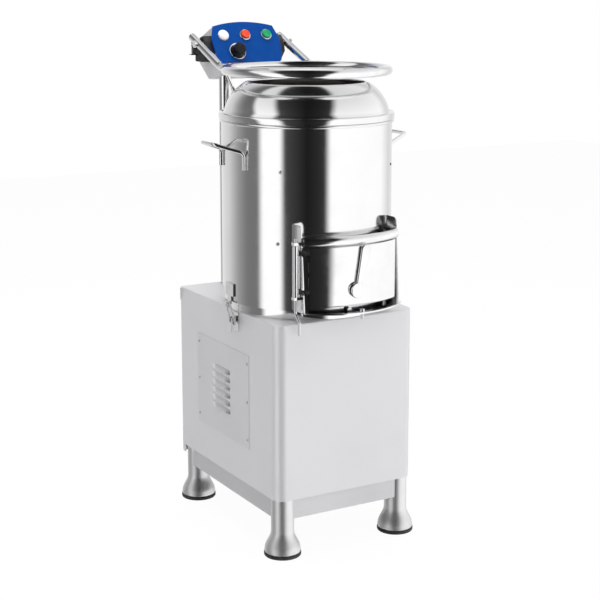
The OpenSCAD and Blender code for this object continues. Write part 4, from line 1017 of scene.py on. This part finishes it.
class PEELER_OT_controls(Maker, bpy.types.Operator):
    """Builds the lamp, the stop and start buttons, the bezels and the timer knob"""

    bl_idname = "peeler.controls"
    bl_label = "Controls"

    def make(self, scene):
        row, pitch, face = 71.0, 57.0, 2.5

        def on_panel(x, y):
            return BLUE_PANEL @ Matrix.Translation((x, y, face))

        dial = on_panel(-30, 29)
        lamp, stop, start = (on_panel(x, row) for x in (-pitch, 0, pitch))
        rings = Shape()
        bezel = [(10.8, 0), (14, 0), (14, 1.2), (13.4, 2.4), (12.6, 3), (11.6, 3), (10.9, 2.2),
                 (10.8, 0)]
        for place in (stop, start):
            rings.lathe(bezel, place, 64)
        plate = [(3.3, 0), (21, 0), (21, 1.2), (20.4, 1.9), (19.4, 2), (18.9, 1.7), (3.3, 1.7),
                 (3.3, 0)]
        rings.lathe(plate, dial, 96)
        for k in range(11):
            mark = dial @ Matrix.Rotation(math.radians(225 - 27 * k), 4, "Z")
            rings.box((17.4, -0.25, 1.6), (18.8, 0.25, 1.95), mark)
        for place in (lamp, stop, start, dial):
            rings.box((-11, -11, -38), (11, 11, -4), place)
        piece("bezel_rings", rings, "bright_fitting", "machine", ("switch_units",),
              sharp=40)
        lens = Shape()
        lens.lathe([(0, 5), (5, 4.85), (9, 4.3), (11.6, 3.4), (12.9, 2.4), (13.5, 1.4), (13.5, 0),
                    (0, 0)], lamp, 64)
        piece("signal_lamp", lens, "lamp_white", "machine", ("lamp_lens",), sharp=45)
        cap = [(0, 6.6), (5, 6.75), (8.2, 7.3), (9.4, 7.6), (10.1, 7.2), (10.5, 6.3), (10.5, 0.6),
               (4, 0.6), (4, -5.5), (0, -5.5)]
        for name, place, finish, body, node, slot in (
                ("stop_cap", stop, "stop_red", "stop", "stop_button", "red_cap"),
                ("start_cap", start, "start_green", "start", "start_button", "green_cap")):
            shape = Shape()
            shape.lathe(cap, place, 64)
            piece(name, shape, finish, body, (node,), sharp=45)
        self.knob(dial, scene.peeler_controls.knob_ribs)

    def knob(self, dial, ribs):
        """The timer knob, with grip ribs round its side and a pointer on its face."""
        steps, rib_deep, lift = 144, 0.45, 2.4
        profile = [(16.5, 0.0), (16.5, 1.6), (15.4, 2.6), (15.2, 13.2), (14.6, 15.2), (13.2, 16),
                   (6, 15.4), (0, 15.3)]
        rows = []
        for r, z in profile:
            ring = []
            for a in (FULL * k / steps for k in range(steps)):
                q = r - (rib_deep * (0.5 + 0.5 * math.cos(ribs * a)) if 2 < z < 14 else 0)
                ring.append(dial @ Vector((q * math.cos(a), q * math.sin(a), z + lift)))
            rows.append(ring)
        knob = Shape()
        knob.grid(rows, loop=True)
        knob.lathe([(0, -9.6), (3, -9.6), (3, 2.5), (16.5, lift)], dial, 48)
        knob.box((-1.5, 4, 16.6), (1.5, 15, 18.2), dial)
        piece("ribbed_knob", knob, "knob_plastic", "timer", ("timer_knob",),
              sharp=40)


MAKERS = (PEELER_OT_finishes, PEELER_OT_stage, PEELER_OT_cabinet, PEELER_OT_access_cover,
          PEELER_OT_legs, PEELER_OT_drum, PEELER_OT_handles, PEELER_OT_lid, PEELER_OT_door,
          PEELER_OT_latches, PEELER_OT_control_box, PEELER_OT_controls)
SIZES = {"peeler_cabinet": CabinetSizes, "peeler_drum": DrumSizes, "peeler_lid": LidSizes,
         "peeler_controls": ControlSizes, "peeler_colours": FinishColours}


class PEELER_PT_panel(bpy.types.Panel):
    """Lists the makers and their sizes in the sidebar"""

    bl_label = "Potato peeler"
    bl_idname = "PEELER_PT_panel"
    bl_space_type = "VIEW_3D"
    bl_region_type = "UI"
    bl_category = "Peeler"

    def draw(self, context):
        for maker in MAKERS:
            self.layout.operator(maker.bl_idname, text=maker.bl_label)
        for name, group in SIZES.items():
            box = self.layout.box()
            for label in group.__annotations__:
                box.prop(getattr(context.scene, name), label)


def register():
    for made in (*SIZES.values(), *MAKERS, PEELER_PT_panel):
        bpy.utils.register_class(made)
    for name, group in SIZES.items():
        setattr(bpy.types.Scene, name, PointerProperty(type=group))


def unregister():
    for name in SIZES:
        delattr(bpy.types.Scene, name)
    for made in (PEELER_PT_panel, *reversed(MAKERS), *SIZES.values()):
        bpy.utils.unregister_class(made)


def main():
    register()
    for maker in MAKERS:
        step = getattr(bpy.ops.peeler, maker.bl_idname.split(".")[1])
        if step() != {"FINISHED"}:
            raise RuntimeError(maker.bl_label + " wasn't built")


if __name__ == "__main__":
    main()
